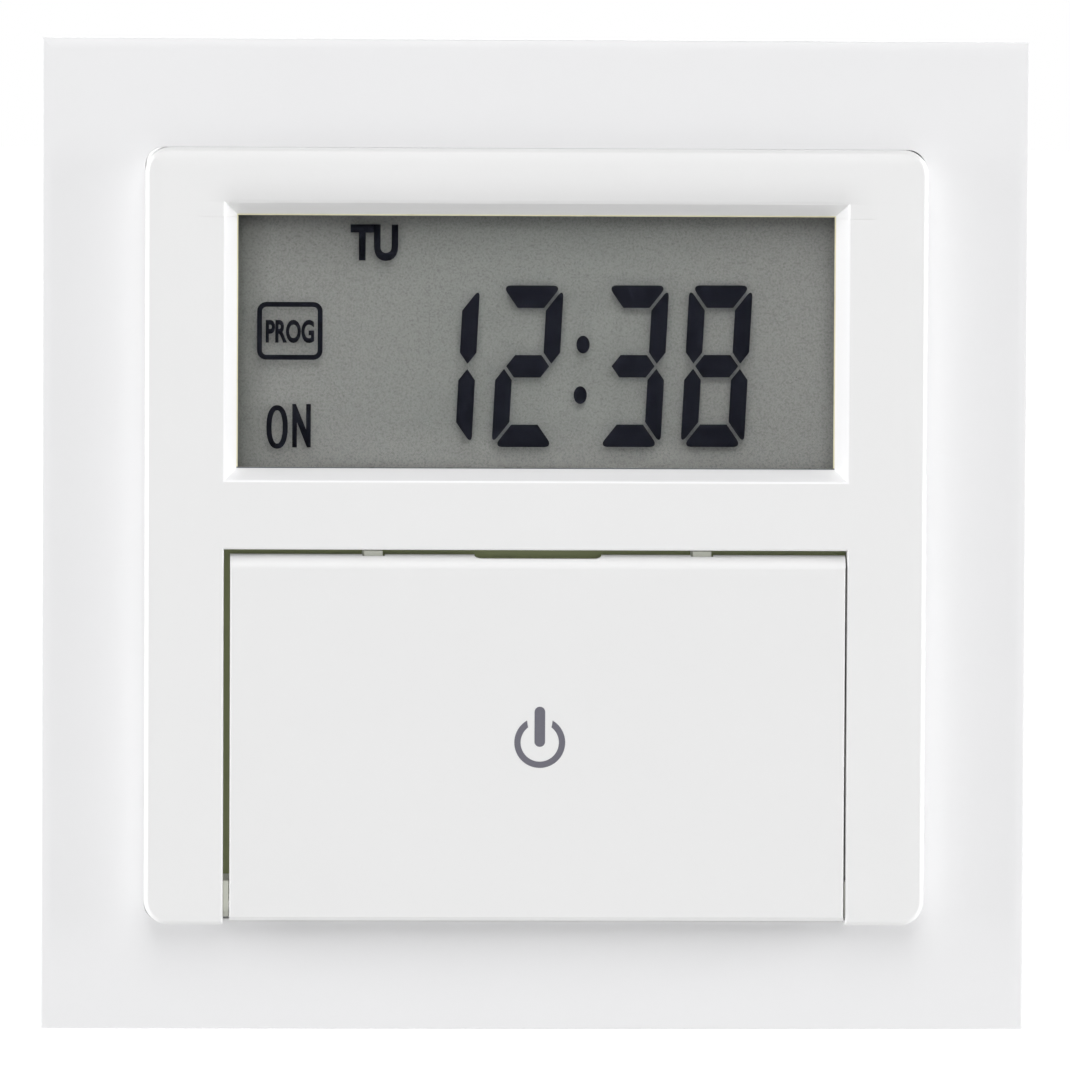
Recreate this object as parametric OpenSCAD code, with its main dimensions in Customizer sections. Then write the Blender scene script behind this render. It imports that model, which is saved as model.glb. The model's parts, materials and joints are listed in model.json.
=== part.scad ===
// In-wall digital timer switch, in millimetres.
// X runs to the right, Y runs into the wall, Z runs up. The front faces -Y.
// The origin is midway between the two wall box screws, on the back of the mounting plate.

/* [Front cover] */
// Width of the front cover
cover_w = 63.2; // [60:0.1:80]
// Height of the front cover
cover_h = 62.8; // [60:0.1:80]
// Thickness of the cover's face
cover_face_t = 1.6; // [1.2:0.1:2.2]
// Thickness of the cover's side walls
cover_wall = 1.6; // [1.2:0.1:2]
// Corner radius of the cover, seen from the front
cover_corner_r = 2.0; // [1:0.1:3]
// Rounding of the cover's front edges
cover_edge_r = 1.5; // [0.5:0.1:1.5]
// How far the cover stands in front of the frame
cover_stand = 3.0; // [1:0.1:4]

/* [Outer frame] */
// Width of the frame beside the cover
frame_side = 8.3; // [7:0.1:14]
// Width of the frame above and below the cover
frame_top = 8.7; // [7:0.1:14]
// Depth of the frame from the wall to its front
frame_depth = 10; // [9.5:0.1:14]
// Thickness of the frame's front and outer walls
frame_wall = 2.0; // [1.5:0.1:2.5]
// Thickness of the collar round the cover
collar_t = 1.5; // [1.2:0.1:2]
// Clearance between the cover and the frame
frame_gap = 0.1; // [0.05:0.05:0.3]

/* [Display window] */
// Width of the window at the foot of its bevel
window_w = 48.2; // [40:0.1:50]
// Height of the window at the foot of its bevel
window_h = 20.4; // [16:0.1:20.4]
// Height of the window's centre above the middle of the cover
window_z = 15.75; // [15:0.05:16]
// Width and depth of the bevel round the window
window_bevel = 1.0; // [0.5:0.1:1.2]
// Thickness of the clear pane
pane_t = 0.6; // [0.5:0.1:0.7]
// Thickness of each display glass
glass_t = 0.6; // [0.4:0.1:0.7]

/* [Display figures] */
// Height of a figure
digit_h = 13.1; // [10:0.1:14]
// Width of a figure
digit_w = 5.15; // [4:0.05:5.6]
// Thickness of an upright bar
bar_v = 1.35; // [0.8:0.05:1.6]
// Thickness of a level bar
bar_h = 1.8; // [0.8:0.05:2]
// Gap between two bars
bar_gap = 0.25; // [0.1:0.05:0.4]
// Lean of the figures, in degrees
digit_lean = 2.9; // [0:0.1:8]

/* [Flap] */
// Width of each leg of the cover beside the flap
leg_w = 6.4; // [6:0.1:8]
// Height of the flap
flap_h = 29.57; // [28:0.01:30]
// Thickness of the flap
flap_t = 1.5; // [1.4:0.1:1.6]
// Gap at the left of the flap, where the hinge ear shows
flap_gap_left = 0.6; // [0.5:0.05:0.8]
// Gap at the right of the flap
flap_gap_right = 0.2; // [0.15:0.05:0.3]
// Gap above the flap
flap_gap_top = 0.47; // [0.3:0.01:0.6]
// Width of the fingernail notch in the flap's top edge
notch_w = 10.4; // [6:0.1:14]
// Depth of the fingernail notch
notch_depth = 0.4; // [0.2:0.05:0.6]
// Distance between the two latch lugs above the flap
lug_spacing = 26.6; // [20:0.1:32]
// Diameter of the steel hinge pins
hinge_pin_d = 1.2; // [1:0.1:1.5]

/* [Keys] */
// Width of a key
key_w = 8.4; // [6:0.1:9]
// Height of a key
key_h = 5.6; // [4:0.1:6.5]
// Space between two keys side by side
key_space_x = 2.4; // [1.6:0.1:2.8]
// Space between the two rows of keys
key_space_z = 4.6; // [2:0.1:4.8]
// Travel of a key
key_travel = 0.3; // [0.2:0.05:0.35]
// Diameter of the reset key
reset_d = 2.4; // [1.6:0.1:2.8]

/* [Mounting plate] */
// Distance between the two wall box screws
box_screw_spacing = 60; // [60:0.5:62]
// Radius of the holes for the wall box screws
box_screw_r = 1.7; // [1.6:0.05:1.9]
// Thickness of the steel plate
plate_t = 1.2; // [1:0.1:1.5]
// Room in front of the plate for screw heads
screw_room = 3.2; // [3:0.1:4]

/* [Base housing] */
// Diameter of the housing behind the wall
base_d = 56; // [54:0.5:57]
// Depth of the housing behind the wall
base_depth = 30; // [29:0.5:40]
// Wall thickness of the housing
base_wall = 2; // [1.6:0.1:2.4]
// Distance from the middle to each flat side
base_flat = 21.5; // [21:0.1:21.8]

/* [Terminals] */
// Distance between two terminals
terminal_pitch = 8.5; // [8:0.1:8.6]
// Radius of a wire hole
wire_r = 1.6; // [1.2:0.1:2]
// Radius of a terminal screw
terminal_screw_r = 1.5; // [1.2:0.1:1.6]
// How far a cage rises as its screw is tightened
cage_travel = 3.2; // [2:0.1:3.4]

/* [Claws] */
// Radius of a claw screw
claw_screw_r = 1.5; // [1.3:0.1:1.6]
// How far a claw nut is drawn forward
claw_nut_travel = 8; // [4:0.5:8]
// Width of a claw
claw_width = 10.4; // [9:0.1:12]

/* [Hidden] */
$fn = 48;

// Finishes
WHITE = "#f2f2f3";
OLIVE = "#8b8d78";
STEEL = "#b9bcc0";
BRASS = "#c9a85a";
BOARD = "#2f6b45";
BLACK = "#26272b";
GREY = "#d8d9da";

// Small clearances that the whole model shares
seat = 0.05; // between two parts that rest on each other
slip = 0.1; // between a part and the pocket it drops into
past = 1; // how far a cut runs past the surface it opens

// Depths of the control head, counted from the front
front_y = -(frame_depth + cover_stand);
face_back_y = front_y + cover_face_t;
pane_back_y = face_back_y + pane_t;
lcd_y = pane_back_y + seat;
segment_t = 0.04;
lcd_rear_y = lcd_y + glass_t + seat;
reflector_t = 0.2;
reflector_y = lcd_rear_y + glass_t;
reflector_back_y = reflector_y + reflector_t;
yoke_y = face_back_y + 0.2;
yoke_t = 1.0;
yoke_back_y = yoke_y + yoke_t;
panel_y = yoke_back_y + 0.2;
panel_t = 1.1;
panel_back_y = panel_y + panel_t;
key_stem_h = 1.5;
board_y = panel_back_y + key_stem_h;
board_t = 1.2;
board_back_y = board_y + board_t;
head_back_y = -(plate_t + screw_room);
shell_t = 1.0;
well_back_y = -0.2;
well_floor_y = well_back_y - shell_t;

// Front outline
cover_half_w = cover_w / 2;
cover_half_h = cover_h / 2;
inner_half_w = cover_half_w - cover_wall;
inner_half_h = cover_half_h - cover_wall;
frame_open_w = cover_w + 2 * frame_gap;
frame_open_h = cover_h + 2 * frame_gap;
frame_w = frame_open_w + 2 * frame_side;
frame_h = frame_open_h + 2 * frame_top;
frame_open_r = cover_corner_r - 0.5;
collar_w = frame_open_w + 2 * collar_t;
collar_h = frame_open_h + 2 * collar_t;
rib_places = [-26, -10, 10, 26];
rib_t = 1.2;
rib_back_y = -5;
side_notch = 7; // half the room in the collar for a wall box screw at each side
end_notch = 9; // the same above and below, where the screw has a slot

// Flap and the opening it lies in
flap_open_half = cover_half_w - leg_w;
flap_left = -flap_open_half + flap_gap_left;
flap_right = flap_open_half - flap_gap_right;
flap_below = 0.36;
flap_bottom = -cover_half_h + flap_below;
flap_top = flap_bottom + flap_h;
flap_open_top = flap_top + flap_gap_top;
flap_back_y = front_y + flap_t;
hinge_r = hinge_pin_d / 2;
hinge_play = 0.03;
ear_r = hinge_r + 0.4;
ear_skin = 0.3;
ear_y = front_y + ear_skin;
hinge_y = ear_y + slip + ear_r;
barrel_r = hinge_r + 0.5;
barrel_w = 3;
hinge_z = flap_bottom + barrel_r + slip;
leg_cut_y = hinge_y + 2.1;
hinge_boss_w = 2.4;
pin_grip = 2;
lug_half = lug_spacing / 2;
lug_w = 1.5;
lug_y = front_y + 0.9;
lug_play = 0.15;
press_angle = 1.2;

// Yoke that carries the flap
ear_gap = 0.125;
ear_t = 0.85;
ear_top = hinge_z + 2;
arm_w = 2.2;
yoke_bar_top = flap_top - 0.15;
yoke_bar_h = 2.75;
yoke_bar_bottom = yoke_bar_top - yoke_bar_h;
lug_bottom = yoke_bar_bottom + 1.3;
yoke_lip_t = 0.3;
yoke_lip_top = flap_open_top + 0.4;

// Key panel
key_rise = 0.6;
key_flange = 0.5;
key_flange_t = 0.5;
key_corner_r = 1.2;
key_play = 0.15;
key_pitch_x = key_w + key_space_x;
key_pitch_z = key_h + key_space_z;
panel_wall = 1;
panel_margin = 1;
panel_half_w = 1.5 * key_pitch_x + key_w / 2 + key_flange + panel_margin + panel_wall;
panel_top = yoke_bar_bottom - 0.8;
top_row_z = panel_top - panel_wall - panel_margin - key_flange - key_h / 2;
reset_r = reset_d / 2;
reset_flange = 0.4;
reset_z = top_row_z - key_pitch_z - key_h / 2 - key_flange - 0.8;
panel_bottom = reset_z - reset_r - reset_flange - panel_wall - 0.3;
dome_h = key_travel + 0.2;
dome_r = 2.2;
reset_dome_r = 1.2;

// Display stack
lcd_half_w = window_w / 2 + 0.9;
lcd_top = window_z + window_h / 2 + 1.05;
lcd_bottom = window_z - window_h / 2 - 4.05;
lcd_ledge = 2.3;
bracket_wall = 1.2;
bracket_r = 3;
pane_lap = 1.5;
strip_half_w = lcd_half_w - 2.3;

// Screws that close the control head
boss_x = inner_half_w - 1.8;
boss_z = inner_half_h - 2.3;
boss_r = 1.9;
boss_skin = 0.6;
shell_screw_r = 0.9;
shell_screw_grip = 5.5;

// Lid and housing behind the wall
base_r = base_d / 2;
lid_t = 2;
lid_boss_y = 4.6;
full_depth = 9;
base_bottom = -(base_r - 3.5);
base_inner_r = base_r - base_wall;
base_inner_flat = base_flat - base_wall;
claw_x = base_flat + 2.5;
power_y = 5;
power_t = 1.6;
power_back_y = power_y + power_t;
plate_screw_z = base_inner_r - 1.4;
hook_x = 11.5;
hook_w = 4;
hook_t = 1.2;
hook_lip = 0.6;

// Plate and wall box fixing
well_half_w = base_flat - 1.3;
well_half_h = sqrt(pow(base_inner_r, 2) - pow(hook_x + hook_w / 2, 2)) - hook_lip - 0.3;
plate_open_half_w = well_half_w + 0.4;
plate_open_half_h = well_half_h + 0.4;
tab_t = plate_t;
tab_gap = 0.1;
plate_w = collar_w + 2 * (tab_gap + tab_t);
plate_h = collar_h + 2 * (tab_gap + tab_t);
box_screw_x = box_screw_spacing / 2;
box_slot_w = 9;
plate_chamfer = 8;
tab_z = 18;
tab_w = 8;
tab_h = 5.6;
nub_w = 3;
nub_h = 0.4;
nub_half_t = 0.5;
nub_play = 0.3;
nub_y = -plate_t - 3.5;
plate_screw_r = 1.05;

// Terminals
cage_y = 12;
cage_half_w = 3;
cage_wall = 0.8;
cage_front_t = 1.2;
cage_back_t = 1.8;
cage_depth = 10.2;
cage_bottom = base_bottom + base_wall + 0.9;
cage_h = 6;
terminal_z = cage_bottom + cage_h / 2;
wire_y = cage_y + cage_front_t + wire_r + 0.8;
bar_t = 1;
bar_y = cage_y + cage_front_t + cage_travel + 1.5;
screw_head_y = base_depth - 3.8;
terminal_head_r = 2.2;
terminal_head_t = 2.2;
header_z = 18;
header_pins = 7;
header_pitch = 2;
header_half_w = header_pins * header_pitch / 2;
pin_hole_r = 0.5;
socket_half_w = header_half_w + 0.4;
socket_half_h = 2.2;
partition_y = cage_y - 2;

// Claws
claw_pivot_y = 3.5;
claw_angle = 8.63;
claw_t = 1.2;
claw_reach = 17.7;
claw_slot = 11;
claw_stub_r = 0.75;
claw_half = claw_width / 2;
fork_half = claw_screw_r + 0.8;
claw_head_r = 2.6;
claw_head_t = 1.7;
lug_room = 0.15;
lug_t = 1.55;
nut_front_y = 10;
nut_y = nut_front_y + claw_nut_travel;
nut_t = 2.4;
nut_half = 3.2;
nut_inner = base_flat + 0.25;
nut_outer = claw_x + 2.1;

// A flat shape drawn in X and Z, standing between two depths
module slab(y0, y1) {
    translate([0, y1, 0]) rotate([90, 0, 0]) linear_extrude(y1 - y0) children();
}

// A round bar or bore along Y
module round_y(x, z, r, y0, y1) {
    translate([x, y1, z]) rotate([90, 0, 0]) cylinder(h = y1 - y0, r = r);
}

// A round bar or bore along X
module round_x(y, z, r, x0, x1) {
    translate([x0, y, z]) rotate([0, 90, 0]) cylinder(h = x1 - x0, r = r);
}

// A round bar or bore along Z
module round_z(x, y, r, z0, z1) {
    translate([x, y, z0]) cylinder(h = z1 - z0, r = r);
}

// A block given by its two opposite corners
module block(x, y, z) {
    translate([x[0], y[0], z[0]]) cube([x[1] - x[0], y[1] - y[0], z[1] - z[0]]);
}

// A rectangle with round corners, centred
module round_rect(w, h, r) {
    square([w - 2 * r, h], center = true);
    square([w, h - 2 * r], center = true);
    for (x = [-1, 1], z = [-1, 1]) translate([x * (w / 2 - r), z * (h / 2 - r)]) circle(r);
}

// A block whose front edges are rounded, with its corners rounded as seen from the front
module soft_front(w, h, corner_r, edge_r, y0, y1) {
    intersection() {
        slab(y0, y1) round_rect(w, h, corner_r);
        translate([0, 0, -h / 2]) linear_extrude(h) front_profile(w, edge_r, y0, y1);
        translate([-w / 2, 0, 0]) rotate([90, 0, 90]) linear_extrude(w)
            rotate([0, 0, 90]) front_profile(h, edge_r, -y1, -y0, -1);
    }
}

// The outline of such a block: width across, depth up, round at the front
module front_profile(w, r, y0, y1, side = 1) {
    front = side > 0 ? y0 : y1;
    back = side > 0 ? y1 : y0;
    low = min(front + side * r, back);
    high = max(front + side * r, back);
    translate([-w / 2, low]) square([w, high - low]);
    translate([-w / 2 + r, min(front, front + side * r)]) square([w - 2 * r, r]);
    for (x = [-1, 1]) translate([x * (w / 2 - r), front + side * r]) circle(r);
}

// The four bosses of the control head
module at_bosses() {
    for (x = [-1, 1], z = [-1, 1]) translate([x * boss_x, 0, z * boss_z]) children();
}

// Outer frame: a square bezel that stands on the wall and on the mounting plate
module outer_frame() {
    color(WHITE) {
        difference() {
            block([-frame_w / 2, frame_w / 2], [-frame_depth, 0], [-frame_h / 2, frame_h / 2]);
            block([-frame_w / 2 + frame_wall, frame_w / 2 - frame_wall],
                [-frame_depth + frame_wall, past],
                [-frame_h / 2 + frame_wall, frame_h / 2 - frame_wall]);
            slab(-frame_depth - past, past) round_rect(frame_open_w, frame_open_h, frame_open_r);
        }
        frame_collar();
        for (side = [-1, 1], z = rib_places) frame_rib(side, z);
    }
}

// The collar that guides the cover, cut away for the heads of the wall box screws
module frame_collar() {
    difference() {
        slab(-frame_depth + frame_wall - seat, -plate_t)
            square([collar_w, collar_h], center = true);
        slab(-frame_depth, past) round_rect(frame_open_w, frame_open_h, frame_open_r);
        block([-collar_w, collar_w], [head_back_y, past], [-side_notch, side_notch]);
        block([-end_notch, end_notch], [head_back_y, past], [-collar_h, collar_h]);
    }
    for (x = [-1, 1], z = [-tab_z, tab_z])
        block([x * collar_w / 2 - nub_h, x * collar_w / 2 + nub_h],
            [nub_y - nub_half_t, nub_y + nub_half_t], [z - nub_w / 2, z + nub_w / 2]);
}

// One stiffening rib between the collar and the frame's side wall
module frame_rib(side, z) {
    inner = side * (collar_w / 2 - seat);
    outer = side * (frame_w / 2 - frame_wall + seat);
    block(sorted(inner, outer), [-frame_depth + frame_wall - seat, rib_back_y],
        [z - rib_t / 2, z + rib_t / 2]);
}

// Front cover: the face with the display window and the opening for the flap
module front_cover() {
    color(WHITE) difference() {
        union() {
            cover_shell();
            at_bosses() round_y(0, 0, boss_r, face_back_y - seat, head_back_y - shell_t);
            hinge_boss(-1);
            hinge_boss(1);
        }
        at_bosses() round_y(0, 0, shell_screw_r + seat, face_back_y + boss_skin, head_back_y);
        hinge_bore();
        ear_pocket(-1);
        ear_pocket(1);
    }
}

module cover_shell() {
    difference() {
        soft_front(cover_w, cover_h, cover_corner_r, cover_edge_r, front_y, head_back_y);
        block([-inner_half_w, inner_half_w], [face_back_y, past], [-inner_half_h, inner_half_h]);
        window_cut();
        block([-flap_open_half, flap_open_half], [front_y - past, face_back_y + past],
            [-cover_half_h - past, flap_open_top]);
        block([-flap_open_half, flap_open_half], [front_y - past, leg_cut_y],
            [-cover_half_h - past, -inner_half_h + past]);
    }
}

// The window opening, with a bevel made of four sloping cuts
module window_cut() {
    half_w = window_w / 2;
    half_h = window_h / 2;
    block([-half_w, half_w], [front_y - past, face_back_y + past],
        [window_z - half_h, window_z + half_h]);
    translate([0, 0, window_z]) intersection() {
        translate([0, 0, -half_h - 2 * window_bevel]) linear_extrude(window_h + 4 * window_bevel)
            bevel_profile(half_w, front_y);
        translate([-half_w - 2 * window_bevel, 0, 0]) rotate([90, 0, 90])
            linear_extrude(window_w + 4 * window_bevel) rotate([0, 0, 90]) mirror([0, 1])
            bevel_profile(half_h, front_y);
    }
}

module bevel_profile(half, y0) {
    spread = half + window_bevel;
    polygon([[-half, y0 + window_bevel], [half, y0 + window_bevel], [spread, y0],
        [spread, y0 - past], [-spread, y0 - past], [-spread, y0]]);
}

// The far side of an ear, on the left or the right
function ear_inner(side) = side < 0 ? flap_left - ear_gap : flap_right + ear_gap;
function ear_outer(side) = ear_inner(side) + side * ear_t;
function pocket_end(side) = ear_outer(side) + side * 0.15;
function sorted(a, b) = [min(a, b), max(a, b)];

// The block behind each leg of the cover that holds a hinge pin
module hinge_boss(side) {
    block(sorted(pocket_end(side), pocket_end(side) + side * hinge_boss_w),
        [face_back_y - seat, hinge_y + barrel_r + 0.2],
        [-inner_half_h - seat, hinge_z + barrel_r + 0.3]);
}

// The room in each leg for an ear of the yoke
module ear_pocket(side) {
    block(sorted(side * (flap_open_half - past), pocket_end(side)),
        [ear_y, leg_cut_y], [flap_bottom, ear_top + 0.5]);
}

module hinge_bore() {
    for (side = [-1, 1])
        let (span = sorted(ear_inner(side), pocket_end(side) + side * pin_grip))
            round_x(hinge_y, hinge_z, hinge_r + 0.01, span[0], span[1]);
}

// Window pane: the clear sheet glued behind the cover's face
module window_pane() {
    half_w = window_w / 2 + pane_lap;
    half_h = window_h / 2 + pane_lap;
    color("#e8eef2", 0.35) block([-half_w, half_w], [face_back_y, pane_back_y],
        [window_z - half_h, window_z + half_h]);
}

// Front glass of the display, with the contact ledge at its lower edge
module lcd_front_glass() {
    color("#c9d2cf", 0.4) block([-lcd_half_w, lcd_half_w], [lcd_y, lcd_y + glass_t],
        [lcd_bottom, lcd_top]);
}

// Rear glass of the display, shorter than the front one by the ledge
module lcd_rear_glass() {
    color("#aeb5ac", 0.5) block([-lcd_half_w, lcd_half_w], [lcd_rear_y, lcd_rear_y + glass_t],
        [lcd_bottom + lcd_ledge, lcd_top]);
}

// Reflector film on the back of the rear glass
module lcd_reflector() {
    color("#8f948c") block([-lcd_half_w, lcd_half_w], [reflector_y, reflector_back_y],
        [lcd_bottom + lcd_ledge, lcd_top]);
}

// Places of the figures, as the right end of each one's top bar and the foot of the row
digit_foot = window_z - 8.53;
digit_right = [-4.45, 2.34, 10.84, 17.59];
DIGITS = [1, 2, 3, 8];
// Bars of each figure: top, upper right, lower right, bottom, lower left, upper left, middle
SEGMENTS = [
    [1, 1, 1, 1, 1, 1, 0],
    [0, 1, 1, 0, 0, 0, 0],
    [1, 1, 0, 1, 1, 0, 1],
    [1, 1, 1, 1, 0, 0, 1],
    [0, 1, 1, 0, 0, 1, 1],
    [1, 0, 1, 1, 0, 1, 1],
    [1, 0, 1, 1, 1, 1, 1],
    [1, 1, 1, 0, 0, 0, 0],
    [1, 1, 1, 1, 1, 1, 1],
    [1, 1, 1, 1, 0, 1, 1]];

function lean(points) = [for (p = points) [p[0] + (p[1] - digit_h) * tan(digit_lean), p[1]]];
function flip_x(points) = [for (p = points) [digit_w - p[0], p[1]]];
function flip_z(points) = [for (p = points) [p[0], digit_h - p[1]]];

// The top bar and the upper left bar of a figure; the others are these, turned over
top_bar = [[bar_gap, digit_h], [digit_w - bar_gap, digit_h],
    [digit_w - bar_v - bar_gap / 2, digit_h - bar_h], [bar_v + bar_gap / 2, digit_h - bar_h]];
side_bar = [[0, digit_h - bar_gap], [0, (digit_h + bar_gap) / 2],
    [bar_v / 2, (digit_h + bar_gap) / 2], [bar_v, (digit_h + bar_h + bar_gap) / 2],
    [bar_v, digit_h - bar_h - bar_gap]];
middle_bar = [[(bar_v + bar_gap) / 2, digit_h / 2], [bar_v + bar_gap / 2, (digit_h + bar_h) / 2],
    [digit_w - bar_v - bar_gap / 2, (digit_h + bar_h) / 2],
    [digit_w - (bar_v + bar_gap) / 2, digit_h / 2],
    [digit_w - bar_v - bar_gap / 2, (digit_h - bar_h) / 2],
    [bar_v + bar_gap / 2, (digit_h - bar_h) / 2]];
BARS = [top_bar, flip_x(side_bar), flip_x(flip_z(side_bar)), flip_z(top_bar),
    flip_z(side_bar), side_bar, middle_bar];

module figure(value, right) {
    translate([right - digit_w, digit_foot])
        for (bar = [0:6]) if (SEGMENTS[value][bar] == 1) polygon(lean(BARS[bar]));
}

// Upright and level strokes of a small capital, by its width, height and stroke
module stroke(x0, z0, x1, z1) {
    translate([x0, z0]) square([x1 - x0, z1 - z0]);
}

module letter_frame(w, h, t) {
    stroke(0, 0, t, h);
    stroke(w - t, 0, w, h);
}

module letter_t(w, h, t) {
    stroke(0, h - t, w, h);
    stroke((w - t) / 2, 0, (w + t) / 2, h);
}

module letter_u(w, h, t) {
    letter_frame(w, h, t);
    stroke(0, 0, w, t);
}

module letter_o(w, h, t) {
    letter_u(w, h, t);
    stroke(0, h - t, w, h);
}

module letter_n(w, h, t) {
    letter_frame(w, h, t);
    polygon([[0, h], [t, h], [w, 0], [w - t, 0]]);
}

module letter_p(w, h, t) {
    stroke(0, 0, t, h);
    stroke(0, h - t, w, h);
    stroke(0, h / 2 - t, w, h / 2);
    stroke(w - t, h / 2 - t, w, h);
}

module letter_r(w, h, t) {
    letter_p(w, h, t);
    polygon([[w / 2 - t, h / 2 - t / 2], [w / 2, h / 2 - t / 2], [w, 0], [w - t, 0]]);
}

module letter_g(w, h, t) {
    stroke(0, 0, t, h);
    stroke(0, h - t, w, h);
    stroke(0, 0, w, t);
    stroke(w - t, 0, w, h / 2);
    stroke(w / 2, h / 2 - t, w, h / 2);
}

// Everything that the display shows, as opaque film between the two glasses
module lcd_segments() {
    top = lcd_y + glass_t;
    left = -window_w / 2;
    color(BLACK) slab(top, top + segment_t) {
        for (place = [0:3]) figure(DIGITS[place], digit_right[place]);
        for (dot = [-2.05, 2.05])
            translate([3.75 + dot * tan(digit_lean), window_z - 2 + dot])
                scale([0.75, 1]) circle(0.72);
        translate([left + 9.2, window_z + 6.54]) letter_t(1.9, 2.95, 0.46);
        translate([left + 11.2, window_z + 6.54]) letter_u(1.9, 2.95, 0.46);
        translate([left + 4.2, window_z + 0.87]) mode_box();
        translate([left + 2.38, window_z - 8.63]) letter_o(1.75, 3.55, 0.4);
        translate([left + 4.5, window_z - 8.58]) letter_n(1.55, 3.55, 0.4);
    }
}

// The framed word at the left of the display
module mode_box() {
    difference() {
        round_rect(5.3, 4.68, 0.73);
        round_rect(4.66, 4.04, 0.45);
    }
    translate([-1.94, -0.95]) letter_p(0.84, 1.9, 0.26);
    translate([-0.94, -0.95]) letter_r(0.86, 1.9, 0.26);
    translate([0.08, -0.95]) letter_o(0.86, 1.9, 0.26);
    translate([1.1, -0.95]) letter_g(0.84, 1.9, 0.26);
}

// Bracket that holds the display in front of the control board
module lcd_bracket() {
    low = lcd_bottom - bracket_wall;
    high = lcd_top + bracket_wall;
    rim = 3;
    bar = 2.2;
    color(WHITE) difference() {
        translate([0, 0, (low + high) / 2]) slab(lcd_y, board_y)
            round_rect(2 * (lcd_half_w + bracket_wall), high - low, bracket_r);
        block([-lcd_half_w - slip, lcd_half_w + slip], [lcd_y - past, reflector_back_y],
            [lcd_bottom - slip, lcd_top + slip]);
        block([-lcd_half_w + rim, lcd_half_w - rim], [lcd_y, board_y + past],
            [lcd_bottom + lcd_ledge + bar, lcd_top - rim]);
        block([-strip_half_w - 0.3, strip_half_w + 0.3], [lcd_y, board_y + past],
            [lcd_bottom + slip, lcd_bottom + lcd_ledge - slip]);
    }
}

// Striped rubber strip between the glass ledge and the board
module zebra_strip() {
    color("#d7b9b4") block([-strip_half_w, strip_half_w], [lcd_y + glass_t, board_y],
        [lcd_bottom + 0.3, lcd_bottom + lcd_ledge - 0.4]);
}

// Control board
module control_board() {
    half_w = inner_half_w - 0.4;
    half_h = inner_half_h - 0.4;
    notch_x = boss_x - boss_r - 0.3;
    notch_z = boss_z - boss_r - 0.4;
    color(BOARD) difference() {
        block([-half_w, half_w], [board_y, board_back_y], [-half_h, half_h]);
        for (x = [-1, 1], z = [-1, 1])
            block(sorted(x * notch_x, x * (half_w + past)),
                [board_y - past, board_back_y + past],
                sorted(z * notch_z, z * (half_h + past)));
        for (pin = [0:header_pins - 1])
            round_y(header_x(pin), header_z, pin_hole_r, board_y - past, board_back_y + past);
    }
}

function header_x(pin) = (pin - (header_pins - 1) / 2) * header_pitch;

// Microcontroller with its leads
module microcontroller() {
    half = 5;
    leads = 6;
    lead_pitch = 1.5;
    color(BLACK) translate([-9.5, board_back_y, 8.5]) {
        block([-half, half], [0.15, 1.45], [-half, half]);
        for (turn = [0:90:270], lead = [0:leads - 1]) rotate([0, turn, 0])
            translate([(lead - (leads - 1) / 2) * lead_pitch, 0, half])
            block([-0.3, 0.3], [0, 0.5], [-0.1, 1.2]);
    }
}

// Clock crystal in its can
module quartz_crystal() {
    can_r = 1.1;
    can_z = -3;
    lead_w = 0.3;
    color(STEEL) {
        round_x(board_back_y + can_r, can_z, can_r, -14, -7);
        for (z = [can_z - 0.6, can_z + 0.2])
            block([-7.2, -5], [board_back_y, board_back_y + 0.8], [z, z + lead_w]);
    }
}

battery_x = 8;
battery_z = -9;
battery_r = 8;
battery_t = 2.2;
clip_t = 0.2;

// Coin cell that keeps the clock running
module backup_battery() {
    color(STEEL) round_y(battery_x, battery_z, battery_r,
        board_back_y + clip_t, board_back_y + clip_t + battery_t);
}

// Spring clip round the coin cell
module battery_clip() {
    back = board_back_y + clip_t + battery_t;
    reach = battery_r + 0.6;
    strap = [-2, 2];
    color(STEEL) translate([battery_x, 0, battery_z]) {
        block([-reach, reach], [board_back_y, board_back_y + clip_t], strap);
        block([-reach, reach], [back, back + clip_t], strap);
        for (x = [-reach, reach - clip_t])
            block([x, x + clip_t], [board_back_y, back + clip_t], strap);
    }
}

// Small parts on the back of the control board
module board_parts() {
    small = [-0.6, 0.6];
    large = [-1, 1];
    color("#8a7a5c") {
        for (x = [-16:4:-4]) translate([x, board_back_y, -10]) block(small, [0, 0.6], large);
        for (x = [-16:4:-4]) translate([x, board_back_y, -15]) block(large, [0, 0.7], small);
        for (z = [4:4:12]) translate([8, board_back_y, z]) block(large, [0, 0.7], small);
    }
    color(BLACK) translate([15, board_back_y, 8]) block([-2, 2], [0, 1.4], [-2.5, 2.5]);
}

// Places of the eight keys, by column and row
function key_x(column) = (column - 1.5) * key_pitch_x;
function key_z(row) = top_row_z - row * key_pitch_z;

// Metal snap domes under the keys
module snap_domes() {
    color(STEEL) {
        for (column = [0:3], row = [0:1])
            round_y(key_x(column), key_z(row), dome_r, board_y - dome_h, board_y);
        round_y(0, reset_z, reset_dome_r, board_y - dome_h, board_y);
    }
}

// Push switch behind the top of the flap
switch_z = yoke_bar_bottom + 1.4;
switch_depth = 1.9;
switch_half_w = 3;
switch_half_h = 1.7;
plunger_r = 0.9;
plunger_end_y = board_y - switch_depth + 0.7;
plunger_travel = (switch_z - hinge_z) * sin(press_angle);

module tact_switch() {
    color(BLACK) difference() {
        block([-switch_half_w, switch_half_w], [board_y - switch_depth, board_y],
            [switch_z - switch_half_h, switch_z + switch_half_h]);
        round_y(0, switch_z, plunger_r + seat, board_y - switch_depth - past,
            plunger_end_y + plunger_travel + slip);
    }
}

// Plunger of the push switch, pressed by the yoke
module on_off_plunger() {
    color(WHITE) round_y(0, switch_z, plunger_r, yoke_back_y + seat, plunger_end_y);
}

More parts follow.
